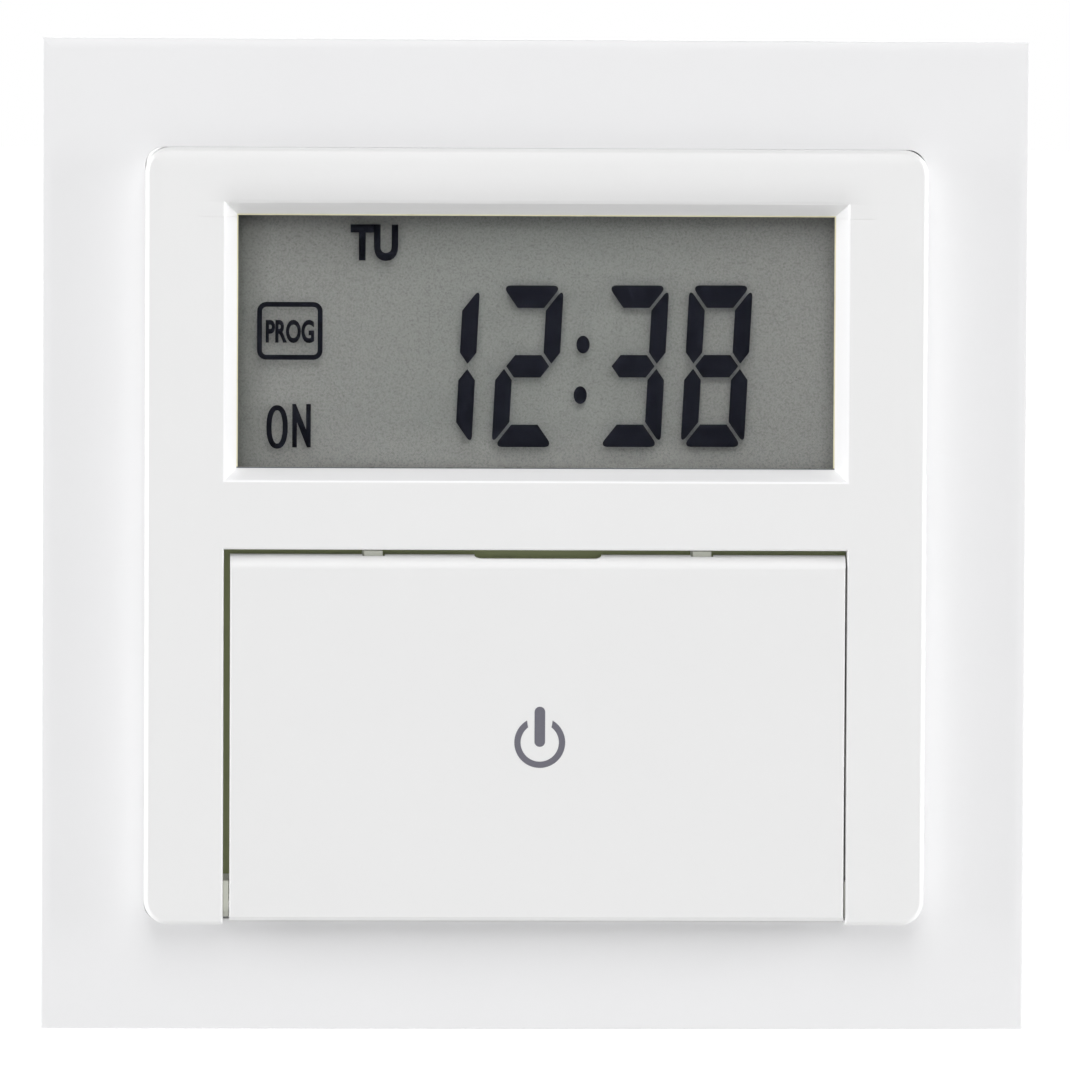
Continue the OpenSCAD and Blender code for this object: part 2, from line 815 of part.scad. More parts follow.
// Panel that guides the keys, on four walls that stand on the board
module key_panel() {
    color(OLIVE) difference() {
        block([-panel_half_w, panel_half_w], [panel_y, board_y], [panel_bottom, panel_top]);
        block([-panel_half_w + panel_wall, panel_half_w - panel_wall],
            [panel_back_y, board_y + past], [panel_bottom + panel_wall, panel_top - panel_wall]);
        for (column = [0:3], row = [0:1]) translate([key_x(column), 0, key_z(row)])
            slab(panel_y - past, panel_back_y + past)
            round_rect(key_w + 2 * key_play, key_h + 2 * key_play, key_corner_r + key_play);
        round_y(0, reset_z, reset_r + key_play, panel_y - past, panel_back_y + past);
    }
}

// One key: cap, flange behind the panel and stem over its dome
module key_cap(column, row) {
    color(GREY) translate([key_x(column), 0, key_z(row)]) {
        slab(panel_y - key_rise, panel_back_y + 2 * seat) round_rect(key_w, key_h, key_corner_r);
        slab(panel_back_y + seat, panel_back_y + key_flange_t)
            round_rect(key_w + 2 * key_flange, key_h + 2 * key_flange, key_corner_r + key_flange);
        round_y(0, 0, 1.2, panel_back_y + key_flange_t - 0.2, board_y - dome_h - seat);
    }
}

// Reset key, set back so that only a pen tip reaches it
module reset_key() {
    color(GREY) {
        round_y(0, reset_z, reset_r, panel_y + 0.2, panel_back_y + 2 * seat);
        round_y(0, reset_z, reset_r + reset_flange, panel_back_y + seat,
            panel_back_y + key_flange_t);
        round_y(0, reset_z, reset_r / 2, panel_back_y + key_flange_t - 0.2,
            board_y - dome_h - seat);
    }
}

// Yoke that the flap is latched to; it tips inwards on the hinge pins when the flap is pressed.
// A thin lip on its bar closes the gap above the flap.
module flap_carrier() {
    color(WHITE) difference() {
        union() {
            for (side = [-1, 1]) carrier_arm(side);
            block([ear_outer(-1), ear_outer(1)], [yoke_y, yoke_back_y],
                [yoke_bar_bottom, yoke_bar_top]);
            block([ear_outer(-1), ear_outer(1)], [yoke_y, yoke_y + yoke_lip_t],
                [yoke_bar_bottom, yoke_lip_top]);
            for (side = [-1, 1]) translate([side * lug_half, 0, 0])
                block([-lug_w / 2, lug_w / 2], [lug_y, yoke_back_y],
                    [lug_bottom, flap_open_top - 0.09]);
        }
        for (side = [-1, 1])
            let (span = sorted(ear_inner(side) - side, ear_outer(side) + side))
                round_x(hinge_y, hinge_z, hinge_r + hinge_play, span[0], span[1]);
    }
}

// Ear round the pin and the arm that runs up behind the flap's edge
module carrier_arm(side) {
    span = sorted(ear_inner(side), ear_outer(side));
    round_x(hinge_y, hinge_z, ear_r, span[0], span[1]);
    block(span, [hinge_y - ear_r, yoke_back_y], [hinge_z, ear_top]);
    block(sorted(ear_outer(side), ear_outer(side) - side * arm_w), [yoke_y, yoke_back_y],
        [ear_top - 0.5, yoke_bar_top]);
}

// Flap that covers the keys and serves as the on and off button
module flap() {
    middle = (flap_left + flap_right) / 2;
    notch_half = notch_w / 2;
    notch_slope = 1;
    color(WHITE) difference() {
        union() {
            block([flap_left, flap_right], [front_y, flap_back_y], [flap_bottom, flap_top]);
            round_x(hinge_y, hinge_z, barrel_r, flap_left, flap_left + barrel_w);
            round_x(hinge_y, hinge_z, barrel_r, flap_right - barrel_w, flap_right);
        }
        for (side = [-1, 1]) translate([side * lug_half, 0, 0])
            block([-lug_w / 2 - lug_play, lug_w / 2 + lug_play],
                [lug_y - lug_play, flap_back_y + past], [lug_bottom - 0.2, flap_top + past]);
        translate([middle, 0, flap_top - notch_depth]) slab(front_y - past, flap_back_y + past)
            polygon([[-notch_half + notch_slope, 0], [notch_half - notch_slope, 0],
                [notch_half, notch_depth], [notch_half, past], [-notch_half, past],
                [-notch_half, notch_depth]]);
        round_x(hinge_y, hinge_z, hinge_r + hinge_play, flap_left - past,
            flap_left + barrel_w + past);
        round_x(hinge_y, hinge_z, hinge_r + hinge_play, flap_right - barrel_w - past,
            flap_right + past);
    }
}

// Two steel pins that the flap and the yoke turn on
module flap_hinge_pins() {
    color(STEEL) {
        round_x(hinge_y, hinge_z, hinge_r, pocket_end(-1) - pin_grip + slip,
            flap_left + barrel_w - slip);
        round_x(hinge_y, hinge_z, hinge_r, flap_right - barrel_w + slip,
            pocket_end(1) + pin_grip - slip);
    }
}

// Rear shell of the control head, with a well that reaches through the mounting plate
module rear_shell() {
    half_w = inner_half_w - slip;
    half_h = inner_half_h - slip;
    floor_y = head_back_y - shell_t;
    color(WHITE) difference() {
        union() {
            difference() {
                block([-half_w, half_w], [board_back_y, head_back_y], [-half_h, half_h]);
                block([-half_w + shell_t, half_w - shell_t], [board_back_y - past, floor_y],
                    [-half_h + shell_t, half_h - shell_t]);
                at_bosses() round_y(0, 0, boss_r + 0.2, board_back_y - past, floor_y);
            }
            block([-well_half_w, well_half_w], [floor_y, well_back_y], [-well_half_h, well_half_h]);
            for (x = [-1, 1], z = [-1, 1]) shell_hook(x, z);
        }
        block([-well_half_w + shell_t, well_half_w - shell_t], [floor_y - past, well_floor_y],
            [-well_half_h + shell_t, well_half_h - shell_t]);
        block([-header_half_w - 1.2, header_half_w + 1.2], [well_floor_y - past, past],
            [header_z - 1.6, header_z + 1.6]);
        at_bosses() round_y(0, 0, shell_screw_r + 0.15, floor_y - past, past);
    }
}

// Hook that snaps behind the lid of the base
module shell_hook(x, z) {
    edge = well_half_h;
    translate([x * hook_x, 0, 0]) {
        block([-hook_w / 2, hook_w / 2], [well_floor_y, lid_t + 2.4],
            sorted(z * (edge - hook_t), z * edge));
        block([-hook_w / 2, hook_w / 2], [lid_t + slip, lid_t + 1.6],
            sorted(z * (edge - seat), z * (edge + hook_lip)));
    }
}

// Four self-tapping screws that close the control head
module shell_screws() {
    head_t = 1;
    slot_floor_y = head_back_y + head_t / 2;
    slot_end_y = head_back_y + head_t + past;
    slot_long = [-1.2, 1.2];
    slot_wide = [-0.2, 0.2];
    color(STEEL) at_bosses() difference() {
        union() {
            round_y(0, 0, shell_screw_r, head_back_y - shell_screw_grip, head_back_y + slip);
            round_y(0, 0, 1.7, head_back_y, head_back_y + head_t);
        }
        block(slot_long, [slot_floor_y, slot_end_y], slot_wide);
        block(slot_wide, [slot_floor_y, slot_end_y], slot_long);
    }
}

// Row of pins from the control board to the power board
module pin_header() {
    strip_half_h = 1.1;
    pin = [-0.3, 0.3];
    color(BLACK) block([-header_half_w, header_half_w], [board_back_y, board_back_y + 2],
        [header_z - strip_half_h, header_z + strip_half_h]);
    color(BRASS) for (place = [0:header_pins - 1]) translate([header_x(place), 0, header_z])
        block(pin, [board_y + 0.2, power_y - 1.5], pin);
}

// Sheet steel mounting plate, with four bent tabs that hold the frame
module mounting_plate() {
    color(STEEL) {
        difference() {
            slab(-plate_t, 0) plate_outline();
            for (x = [-1, 1]) {
                round_y(x * box_screw_x, 0, box_screw_r, -plate_t - past, past);
                round_y(x * claw_x, 0, claw_screw_r + 0.15, -plate_t - past, past);
            }
            for (z = [-1, 1]) {
                round_y(0, z * plate_screw_z, plate_screw_r + 0.15, -plate_t - past, past);
                translate([0, 0, z * box_screw_x]) slab(-plate_t - past, past)
                    round_rect(box_slot_w, 2 * box_screw_r, box_screw_r - 0.01);
            }
        }
        for (x = [-1, 1], z = [-tab_z, tab_z]) plate_tab(x, z);
    }
}

module plate_outline() {
    half_w = plate_w / 2;
    half_h = plate_h / 2;
    cut = plate_chamfer;
    difference() {
        polygon([[-half_w + cut, -half_h], [half_w - cut, -half_h], [half_w, -half_h + cut],
            [half_w, half_h - cut], [half_w - cut, half_h], [-half_w + cut, half_h],
            [-half_w, half_h - cut], [-half_w, -half_h + cut]]);
        square([2 * plate_open_half_w, 2 * plate_open_half_h], center = true);
    }
}

module plate_tab(x, z) {
    span = sorted(x * (plate_w / 2 - tab_t), x * plate_w / 2);
    difference() {
        block(span, [-plate_t - tab_h, -plate_t + seat], [z - tab_w / 2, z + tab_w / 2]);
        block([span[0] - past, span[1] + past],
            [nub_y - nub_half_t - nub_play, nub_y + nub_half_t + nub_play],
            [z - nub_w / 2 - nub_play, z + nub_w / 2 + nub_play]);
    }
}

// Two screws that hold the plate to the lid of the base
module plate_screws() {
    head_y = -plate_t - 1.4;
    color(STEEL) for (z = [-1, 1]) difference() {
        union() {
            round_y(0, z * plate_screw_z, plate_screw_r, -plate_t - slip, lid_boss_y - slip);
            round_y(0, z * plate_screw_z, 2, head_y, -plate_t);
        }
        translate([0, 0, z * plate_screw_z])
            block([-1.5, 1.5], [head_y - past, head_y + 0.7], [-0.25, 0.25]);
    }
}

// One spreading claw: a forked steel strip with a toothed end, on the right side
module claw() {
    color(STEEL) translate([claw_x, claw_pivot_y, 0]) rotate([0, 0, -claw_angle]) {
        difference() {
            block([0, claw_t], [0, claw_reach], [-claw_half, claw_half]);
            block([-past, claw_t + past], [-past, claw_slot], [-fork_half, fork_half]);
        }
        for (z = [-1, 1]) {
            fork = sorted(z * fork_half, z * claw_half);
            stub = sorted(z * (claw_half - 1), z * (claw_half + 1.6));
            round_z(0, 0, 1.1, fork[0], fork[1]);
            round_z(0, 0, claw_stub_r, stub[0], stub[1]);
        }
        translate([0, claw_reach, 0]) rotate([90, 0, 0]) linear_extrude(claw_t) claw_teeth();
    }
}

module claw_teeth() {
    teeth = 4;
    pitch = claw_width / teeth;
    root = claw_t + 0.5;
    polygon(concat([[0, claw_half], [0, -claw_half], [root, -claw_half]],
        [for (tooth = [0:teeth - 1], side = [0, 1])
            [side == 0 ? root + 0.8 : root, -claw_half + (tooth + (side + 1) / 2) * pitch]]));
}

// Claw screw on the right side, turned from the front
module claw_screw() {
    color(STEEL) difference() {
        union() {
            round_y(claw_x, 0, claw_screw_r, -plate_t - slip, nut_y + nut_t + 1.4);
            round_y(claw_x, 0, claw_head_r, -plate_t - claw_head_t, -plate_t);
        }
        translate([claw_x, 0, 0])
            block([-2, 2], [-plate_t - claw_head_t - past, -plate_t - claw_head_t / 2],
                [-0.35, 0.35]);
    }
}

// Nut that the claw screw draws forward under the claw
module claw_nut() {
    color(BRASS) difference() {
        block([nut_inner, nut_outer], [nut_y, nut_y + nut_t], [-nut_half, nut_half]);
        round_y(claw_x, 0, claw_screw_r + seat, nut_y - past, nut_y + nut_t + past);
    }
}

// The outline of the base: a circle with two flat sides
module base_outline(r, flat) {
    intersection() {
        circle(r, $fn = 96);
        square([2 * flat, 4 * r], center = true);
    }
}

// The same with the flat underside where the wires go in
module wire_side_outline(r, flat, bottom) {
    intersection() {
        base_outline(r, flat);
        translate([-2 * r, bottom]) square([4 * r, 4 * r]);
    }
}

// Lid of the base, with the lugs that the claws turn in
module base_lid() {
    color(WHITE) difference() {
        union() {
            slab(0, lid_t) base_outline(base_r, base_flat);
            for (z = [-1, 1]) intersection() {
                round_y(0, z * plate_screw_z, plate_screw_r + 1.15, lid_t - seat, lid_boss_y);
                slab(0, lid_boss_y) circle(base_inner_r - 0.2, $fn = 96);
            }
            for (x = [-15.5, 15.5], z = [-8, 8]) round_y(x, z, 1.5, lid_t - seat, power_y);
            for (x = [-1, 1], z = [-1, 1]) claw_lug(x, z);
        }
        for (z = [-1, 1]) round_y(0, z * plate_screw_z, plate_screw_r + seat, -past, power_y);
        block([-socket_half_w - 0.3, socket_half_w + 0.3], [-past, lid_t + past],
            [header_z - socket_half_h - 0.4, header_z + socket_half_h + 0.4]);
        for (x = [-1, 1], z = [-1, 1]) hook_slot(x, z);
        for (x = [-1, 1]) round_z(x * claw_x, claw_pivot_y, claw_stub_r + 0.03,
            -claw_half - lug_t - past, claw_half + lug_t + past);
    }
}

module claw_lug(x, z) {
    low = claw_half + lug_room;
    high = low + lug_t;
    block(sorted(x * (base_flat + 0.1), x * (claw_x + 1.5)), [0, claw_pivot_y + 1.7],
        sorted(z * low, z * high));
    block(sorted(x * (base_flat - 1), x * (base_flat + 0.2)), [0, lid_t], sorted(z * low, z * high));
}

module hook_slot(x, z) {
    translate([x * hook_x, 0, 0]) block([-hook_w / 2 - 0.3, hook_w / 2 + 0.3],
        [-past, lid_t + past], sorted(z * (well_half_h - 1.6), z * (well_half_h + 0.2)));
}

// Housing behind the wall
module base_housing() {
    color(WHITE) difference() {
        union() {
            slab(lid_t, full_depth + base_wall) base_outline(base_r, base_flat);
            slab(lid_t, base_depth) wire_side_outline(base_r, base_flat, base_bottom);
        }
        slab(lid_t - past, full_depth) base_outline(base_inner_r, base_inner_flat);
        difference() {
            slab(lid_t - past, base_depth - base_wall)
                wire_side_outline(base_inner_r, base_inner_flat, base_bottom + base_wall);
            for (wall = [-1.5:1:1.5]) partition(wall * terminal_pitch);
        }
        for (place = [-1:1]) {
            round_y(place * terminal_pitch, terminal_z, terminal_head_r + 0.3,
                base_depth - base_wall - past, base_depth + past);
            round_z(place * terminal_pitch, wire_y, wire_r, base_bottom - past,
                base_bottom + base_wall + 0.5);
        }
    }
}

// Wall between two terminals
module partition(x) {
    block([x - 0.5, x + 0.5], [partition_y, base_depth - base_wall + seat],
        [base_bottom, cage_bottom + cage_h + 0.6]);
}

// Power board
module power_board() {
    color(BOARD) difference() {
        slab(power_y, power_back_y) intersection() {
            circle(base_inner_r - 0.3, $fn = 96);
            square([2 * (base_inner_flat - 0.6), 2 * (base_inner_r - 4)], center = true);
        }
        for (pin = [0:header_pins - 1])
            round_y(header_x(pin), header_z, pin_hole_r, power_y - past, power_back_y + past);
    }
}

// Relay that switches the lamp
module relay() {
    color("#2b4f8a") block([-18.4, 0.4], [power_back_y, power_back_y + 15.4], [-11.4, 4]);
}

// Film capacitor of the power supply
module film_capacitor() {
    color("#c7a13a") block([2.6, 18.4], [power_back_y, power_back_y + 13.4], [-11.4, -4.6]);
}

// Electrolytic capacitor
module electrolytic_capacitor() {
    color(BLACK) round_y(8.6, 2, 5, power_back_y, power_back_y + 16);
}

// Varistor on its two wires
module varistor() {
    color("#3f6fae") {
        round_x(power_back_y + 5.7, 10, 4.5, -17, -13.2);
        for (z = [7.5, 12.5]) round_y(-15.1, z, 0.4, power_back_y, power_back_y + 4);
    }
}

// Small round fuse
module fuse() {
    color("#5a2d23") round_y(-6.2, 10, 4.2, power_back_y, power_back_y + 8);
}

// Bridge rectifier
module bridge_rectifier() {
    color(BLACK) {
        block([2, 10.4], [power_back_y + 0.4, power_back_y + 3], [9.2, 15.6]);
        for (x = [3, 9]) block([x - 0.5, x + 0.5], [power_back_y, power_back_y + 1], [8.6, 16.2]);
    }
}

// Two resistors that lie across the board
module resistors() {
    color("#6fa3c7") for (x = [-7, 7]) {
        round_x(power_back_y + 2.2, 19.4, 1.5, x - 4, x + 4);
        for (end = [-1, 1]) {
            round_x(power_back_y + 2.2, 19.4, 0.35, x + end * 4.6 - 0.8, x + end * 4.6 + 0.8);
            round_y(x + end * 5.2, 19.4, 0.35, power_back_y, power_back_y + 2.5);
        }
    }
}

// Socket that takes the control head's pins
module socket_header() {
    slot = [-0.4, 0.4];
    color(BLACK) difference() {
        block([-socket_half_w, socket_half_w], [0.6, power_y],
            [header_z - socket_half_h, header_z + socket_half_h]);
        for (pin = [0:header_pins - 1]) translate([header_x(pin), 0, header_z])
            block(slot, [0, power_y - 1], slot);
    }
}

// Copper bars that the wires are clamped against
module contact_bars() {
    top = cage_bottom + cage_h + 2;
    width = [-2, 2];
    color(BRASS) for (place = [-1:1]) translate([place * terminal_pitch, 0, 0]) {
        block(width, [bar_y, bar_y + bar_t], [cage_bottom - 0.4, top]);
        block(width, [power_back_y, bar_y + bar_t], [top - bar_t, top]);
    }
}

// One terminal screw, turned from the back
module terminal_screw(place) {
    color(STEEL) translate([place * terminal_pitch, 0, 0]) difference() {
        union() {
            round_y(0, terminal_z, terminal_screw_r, bar_y + bar_t + seat, screw_head_y + slip);
            round_y(0, terminal_z, terminal_head_r, screw_head_y, screw_head_y + terminal_head_t);
        }
        block([-1.7, 1.7], [screw_head_y + 1.3, screw_head_y + terminal_head_t + past],
            [terminal_z - 0.3, terminal_z + 0.3]);
    }
}

// One rising cage that clamps a wire
module terminal_cage(place) {
    inner = cage_half_w - cage_wall;
    color(BRASS) translate([place * terminal_pitch, 0, 0]) difference() {
        block([-cage_half_w, cage_half_w], [cage_y, cage_y + cage_depth],
            [cage_bottom, cage_bottom + cage_h]);
        block([-inner, inner], [cage_y + cage_front_t, cage_y + cage_depth - cage_back_t],
            [cage_bottom - past, cage_bottom + cage_h + past]);
        round_y(0, terminal_z, terminal_screw_r + seat, cage_y + cage_depth - cage_back_t - past,
            cage_y + cage_depth + past);
    }
}

outer_frame();
front_cover();
window_pane();
lcd_front_glass();
lcd_segments();
lcd_rear_glass();
lcd_reflector();
lcd_bracket();
zebra_strip();
control_board();
microcontroller();
quartz_crystal();
backup_battery();
battery_clip();
board_parts();
snap_domes();
tact_switch();
on_off_plunger();
key_panel();
key_cap(0, 0);  // key_day
key_cap(1, 0);  // key_hour
key_cap(2, 0);  // key_minute
key_cap(3, 0);  // key_clock
key_cap(0, 1);  // key_program
key_cap(1, 1);  // key_manual
key_cap(2, 1);  // key_random
key_cap(3, 1);  // key_output
reset_key();
flap_carrier();
flap();
flap_hinge_pins();
rear_shell();
shell_screws();
pin_header();
mounting_plate();
plate_screws();
mirror([1, 0, 0]) claw();  // claw_left
claw();  // claw_right
mirror([1, 0, 0]) claw_screw();  // claw_screw_left
claw_screw();  // claw_screw_right
mirror([1, 0, 0]) claw_nut();  // claw_nut_left
claw_nut();  // claw_nut_right
base_housing();
base_lid();
power_board();
relay();
film_capacitor();
electrolytic_capacitor();
varistor();
fuse();
bridge_rectifier();
resistors();
socket_header();
contact_bars();
terminal_screw(-1);  // terminal_screw_live
terminal_screw(0);  // terminal_screw_neutral
terminal_screw(1);  // terminal_screw_load
terminal_cage(-1);  // terminal_cage_live
terminal_cage(0);  // terminal_cage_neutral
terminal_cage(1);  // terminal_cage_load
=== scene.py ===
import functools
import json
import math

import bmesh
import bpy
from mathutils import Matrix, Vector


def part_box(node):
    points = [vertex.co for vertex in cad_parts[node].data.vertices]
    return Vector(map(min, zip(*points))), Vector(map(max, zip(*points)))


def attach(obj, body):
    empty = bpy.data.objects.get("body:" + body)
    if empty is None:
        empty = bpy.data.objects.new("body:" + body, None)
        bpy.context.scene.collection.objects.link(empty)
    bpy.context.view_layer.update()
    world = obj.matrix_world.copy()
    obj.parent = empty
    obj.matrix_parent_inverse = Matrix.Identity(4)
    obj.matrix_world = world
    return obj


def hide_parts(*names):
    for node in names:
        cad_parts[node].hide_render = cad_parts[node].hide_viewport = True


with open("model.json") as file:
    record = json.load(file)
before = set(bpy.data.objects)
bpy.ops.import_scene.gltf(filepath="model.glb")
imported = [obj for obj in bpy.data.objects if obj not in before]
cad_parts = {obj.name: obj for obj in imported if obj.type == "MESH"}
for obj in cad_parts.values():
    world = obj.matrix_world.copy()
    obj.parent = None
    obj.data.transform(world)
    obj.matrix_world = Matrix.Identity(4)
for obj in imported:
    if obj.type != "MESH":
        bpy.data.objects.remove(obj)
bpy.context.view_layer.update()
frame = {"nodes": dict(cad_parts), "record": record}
nodes = frame["nodes"]
body_of = {node: body for body, members in frame["record"]["behaviour"]["bodies"].items()
           for node in members}
MM = 0.001
bpy.ops.object.select_all(action="DESELECT")


# Base housing and lid, behind the wall
# Two mouldings in natural polyamide, clipped together. The glass fibre in it leaves short pale
# flecks and a dry, slightly uneven skin.

def linear(code):
    """The linear colour of an sRGB hex code."""
    def channel(value):
        return value / 12.92 if value <= 0.04045 else ((value + 0.055) / 1.055) ** 2.4
    return tuple(channel(int(code[i:i + 2], 16) / 255) for i in (1, 3, 5)) + (1.0,)


def add_node(tree, kind, inputs=None, **options):
    """Adds a node with its options. An input takes a value, a hex colour, a socket, or another
    node, which gives the first of its outputs that is in use. A Vector input that is left free
    reads the point on the piece, in metres."""
    node = tree.nodes.new("ShaderNode" + kind)
    for name, value in options.items():
        setattr(node, name, value)
    for socket, source in (inputs or {}).items():
        if isinstance(source, bpy.types.Node):
            source = next(output for output in source.outputs if output.enabled)
        if isinstance(source, bpy.types.NodeSocket):
            tree.links.new(source, node.inputs[socket])
        else:
            value = linear(source) if isinstance(source, str) else source
            node.inputs[socket].default_value = value
    free = node.inputs.get("Vector")
    if free and free.enabled and not free.is_linked:
        tree.links.new(tree.nodes["place"].outputs["Object"], free)
    return node


def start_material(name):
    """An empty material, and the function that adds nodes to it."""
    material = bpy.data.materials.new(name)
    material.use_nodes = True
    tree = material.node_tree
    tree.nodes.clear()
    tree.nodes.new("ShaderNodeTexCoord").name = "place"
    return material, functools.partial(add_node, tree)


def surface(material, colour, gloss, height, depth_mm, strength=0.5, ior=1.5, mirror=0.5):
    """Ends a material with its colour, its roughness and its fine relief. gloss is what drives
    the roughness, the roughness at its least and most, and those two values if not 0 and 1.
    Without an ior the material is a metal. mirror scales its reflection, 0.5 being natural."""
    add = functools.partial(add_node, material.node_tree)
    source, low, high, *span = gloss
    least, most = span or (0.0, 1.0)
    rough = add("MapRange", {"From Min": least, "From Max": most, "To Min": low, "To Max": high,
                             "Value": source})
    bump = add("Bump", {"Strength": strength, "Distance": depth_mm * MM, "Height": height})
    body = {"IOR": ior} if ior else {"Metallic": 1.0}
    shader = add("BsdfPrincipled", {**body, "Specular IOR Level": mirror, "Base Color": colour,
                                    "Roughness": rough, "Normal": bump})
    add("OutputMaterial", {"Surface": shader})
    return material


def moulded_plastic(name, pale, deep, roughness, ior=1.53, drift=0.06, cloud_mm=9.0,
                    grain_mm=0.28, grain_depth_mm=0.003):
    """Injection-moulded plastic: faint clouds of colour from the melt, a gloss that drifts with
    the polish of the tool, and the tool's fine grain."""
    material, add = start_material(name)
    cloud = add("TexNoise", {"Scale": 1 / (cloud_mm * MM), "Detail": 3.0})
    spread = add("MapRange", {"From Min": 0.35, "From Max": 0.65, "Value": cloud})
    colour = add("Mix", {0: spread, 6: deep, 7: pale}, data_type="RGBA")
    polish = add("TexNoise", {"Scale": 1 / (2.6 * MM), "Detail": 4.0, "Roughness": 0.62})
    grain = add("TexNoise", {"Scale": 1 / (grain_mm * MM), "Detail": 2.0})
    return surface(material, colour, (polish, roughness - drift, roughness + drift, 0.3, 0.7), grain,
                   grain_depth_mm, 0.6, ior)


def enter(mode):
    """Goes to edit mode, with everything selected, or back to object mode."""
    bpy.ops.object.mode_set(mode=mode)
    if mode == "EDIT":
        bpy.ops.mesh.select_all(action="SELECT")


def pick(piece):
    """Selects one piece alone."""
    bpy.ops.object.select_all(action="DESELECT")
    piece.select_set(True)
    bpy.context.view_layer.objects.active = piece


def change(piece, kind, **options):
    """Applies one modifier to the picked piece."""
    step = piece.modifiers.new(kind, kind)
    for name, value in options.items():
        setattr(step, name, value)
    bpy.ops.object.modifier_apply(modifier=step.name)


def open_copy(node, name):
    """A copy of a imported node's mesh in edit mode, with its loose triangles merged into faces."""
    piece = bpy.data.objects.new(name, nodes[node].data.copy())
    bpy.context.scene.collection.objects.link(piece)
    pick(piece)
    enter("EDIT")
    bpy.ops.mesh.remove_doubles(threshold=0.0005 * MM)
    bpy.ops.mesh.dissolve_limited(angle_limit=math.radians(0.6))
    return piece


def round_edges(piece, radius, segments, wanted=None, corner=38):
    """Rounds, in edit mode, the edges sharper than the corner angle. wanted tells from an edge's
    middle, in millimetres, whether it is one of them."""
    bpy.ops.mesh.select_mode(type="EDGE")
    bpy.ops.mesh.select_all(action="DESELECT")
    mesh = bmesh.from_edit_mesh(piece.data)
    for edge in mesh.edges:
        middle = (edge.verts[0].co + edge.verts[1].co) / 2 / MM
        sharp = edge.is_manifold and edge.calc_face_angle(0) > math.radians(corner)
        edge.select_set(bool(sharp and (wanted is None or wanted(middle))))
    bmesh.update_edit_mesh(piece.data)
    bpy.ops.mesh.bevel(offset=radius * MM, segments=segments, profile=0.5, affect="EDGES",
                       clamp_overlap=False)


def close_shape(piece, smooth_angle=32):
    """Leaves edit mode and shades the piece smooth between its creases, with flat faces flat."""
    enter("OBJECT")
    pick(piece)
    bpy.ops.object.shade_smooth_by_angle(angle=math.radians(smooth_angle))
    change(piece, "WEIGHTED_NORMAL", keep_sharp=True)
    return piece


def stand_in(piece, node, material):
    """Gives a finished piece and its node their material, and lets the piece ride and show in
    the node's place."""
    piece.data.materials.clear()
    piece.data.materials.append(material)
    for place in nodes[node].material_slots:
        place.material = material
    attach(piece, body_of[node])
    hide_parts(node)
    return piece


def eased(node, name, material, radius=0.12, segments=2, corner=38):
    """A node's shape with all its sharp edges eased, as a tool or a press leaves them."""
    piece = open_copy(node, name)
    round_edges(piece, radius, segments, corner=corner)
    return stand_in(close_shape(piece), node, material)


housing_polyamide = moulded_plastic("natural glass-fibre polyamide", "#dcdcd7", "#cfcfc9", 0.52,
                                    drift=0.1, cloud_mm=14, grain_mm=0.4, grain_depth_mm=0.012)
eased("base_housing", "housing_moulding", housing_polyamide, 0.25)
eased("base_lid", "lid_moulding", housing_polyamide)


# Power board and what is soldered on it
# A green board with the relay, two capacitors, a varistor, a fuse, a rectifier and two resistors.
# They are bought parts: boxes in moulded resin, a can in its sleeve, dipped and lacquered bodies.

def circuit_board(name):
    """Glass laminate under green solder resist: copper runs show through as a paler green, and
    the glass weave gives the skin a fine chequer."""
    material, add = start_material(name)
    turned = add("Mapping", {"Rotation": (math.radians(90), 0, 0)})
    runs = add("TexBrick", {"Scale": 1 / (12 * MM), "Mortar Size": 0.028, "Mortar Smooth": 0.1,
                            "Brick Width": 0.7, "Row Height": 0.21, "Color1": (0, 0, 0, 1),
                            "Color2": (0, 0, 0, 1), "Mortar": (1, 1, 1, 1), "Vector": turned},
               offset=0.37, squash=1.6, squash_frequency=3)
    cloud = add("TexNoise", {"Scale": 1 / (6 * MM), "Detail": 3.0})
    resist = add("Mix", {0: cloud, 6: "#1c5a3a", 7: "#25704a"}, data_type="RGBA")
    colour = add("Mix", {0: runs, 6: resist, 7: "#3f8f5f"}, data_type="RGBA")
    weave = add("TexChecker", {"Scale": 1 / (0.5 * MM)})
    height = add("Math", {0: runs, 1: 4.0}, operation="MULTIPLY")
    raised = add("Math", {0: height, 1: weave.outputs["Fac"]}, operation="ADD")
    return surface(material, colour, (cloud, 0.28, 0.42), raised, 0.008, ior=1.52)


board_green = circuit_board("green circuit board")
eased("power_board", "power_board_cut", board_green, 0.08, 1)

relay_case = moulded_plastic("blue relay case", "#2f5796", "#284b84", 0.36, grain_mm=0.2)
eased("relay", "relay_case", relay_case, 0.6, 4)
capacitor_box = moulded_plastic("ochre capacitor box", "#c9a443", "#b8933a", 0.3, ior=1.55)
eased("film_capacitor", "film_capacitor_box", capacitor_box, 0.7, 4)
fuse_cap = moulded_plastic("brown fuse cap", "#5e3026", "#4e271f", 0.34)
eased("fuse", "fuse_cap", fuse_cap, 0.5, 4)
black_epoxy = moulded_plastic("black moulding epoxy", "#2b2c30", "#222327", 0.55, drift=0.08,
                              grain_mm=0.12, grain_depth_mm=0.006)
eased("bridge_rectifier", "rectifier_body", black_epoxy, 0.2)


def patchy_coat(name, one, other, patch_mm, detail, gloss, depth_mm, strength, ior, mirror=0.5):
    """A coat such as resin or ink. Its thicker patches differ in colour, gloss and height."""
    material, add = start_material(name)
    patch = add("TexNoise", {"Scale": 1 / (patch_mm * MM), "Detail": detail})
    colour = add("Mix", {0: patch, 6: one, 7: other}, data_type="RGBA")
    return surface(material, colour, (patch, *gloss), patch, depth_mm, strength, ior, mirror)


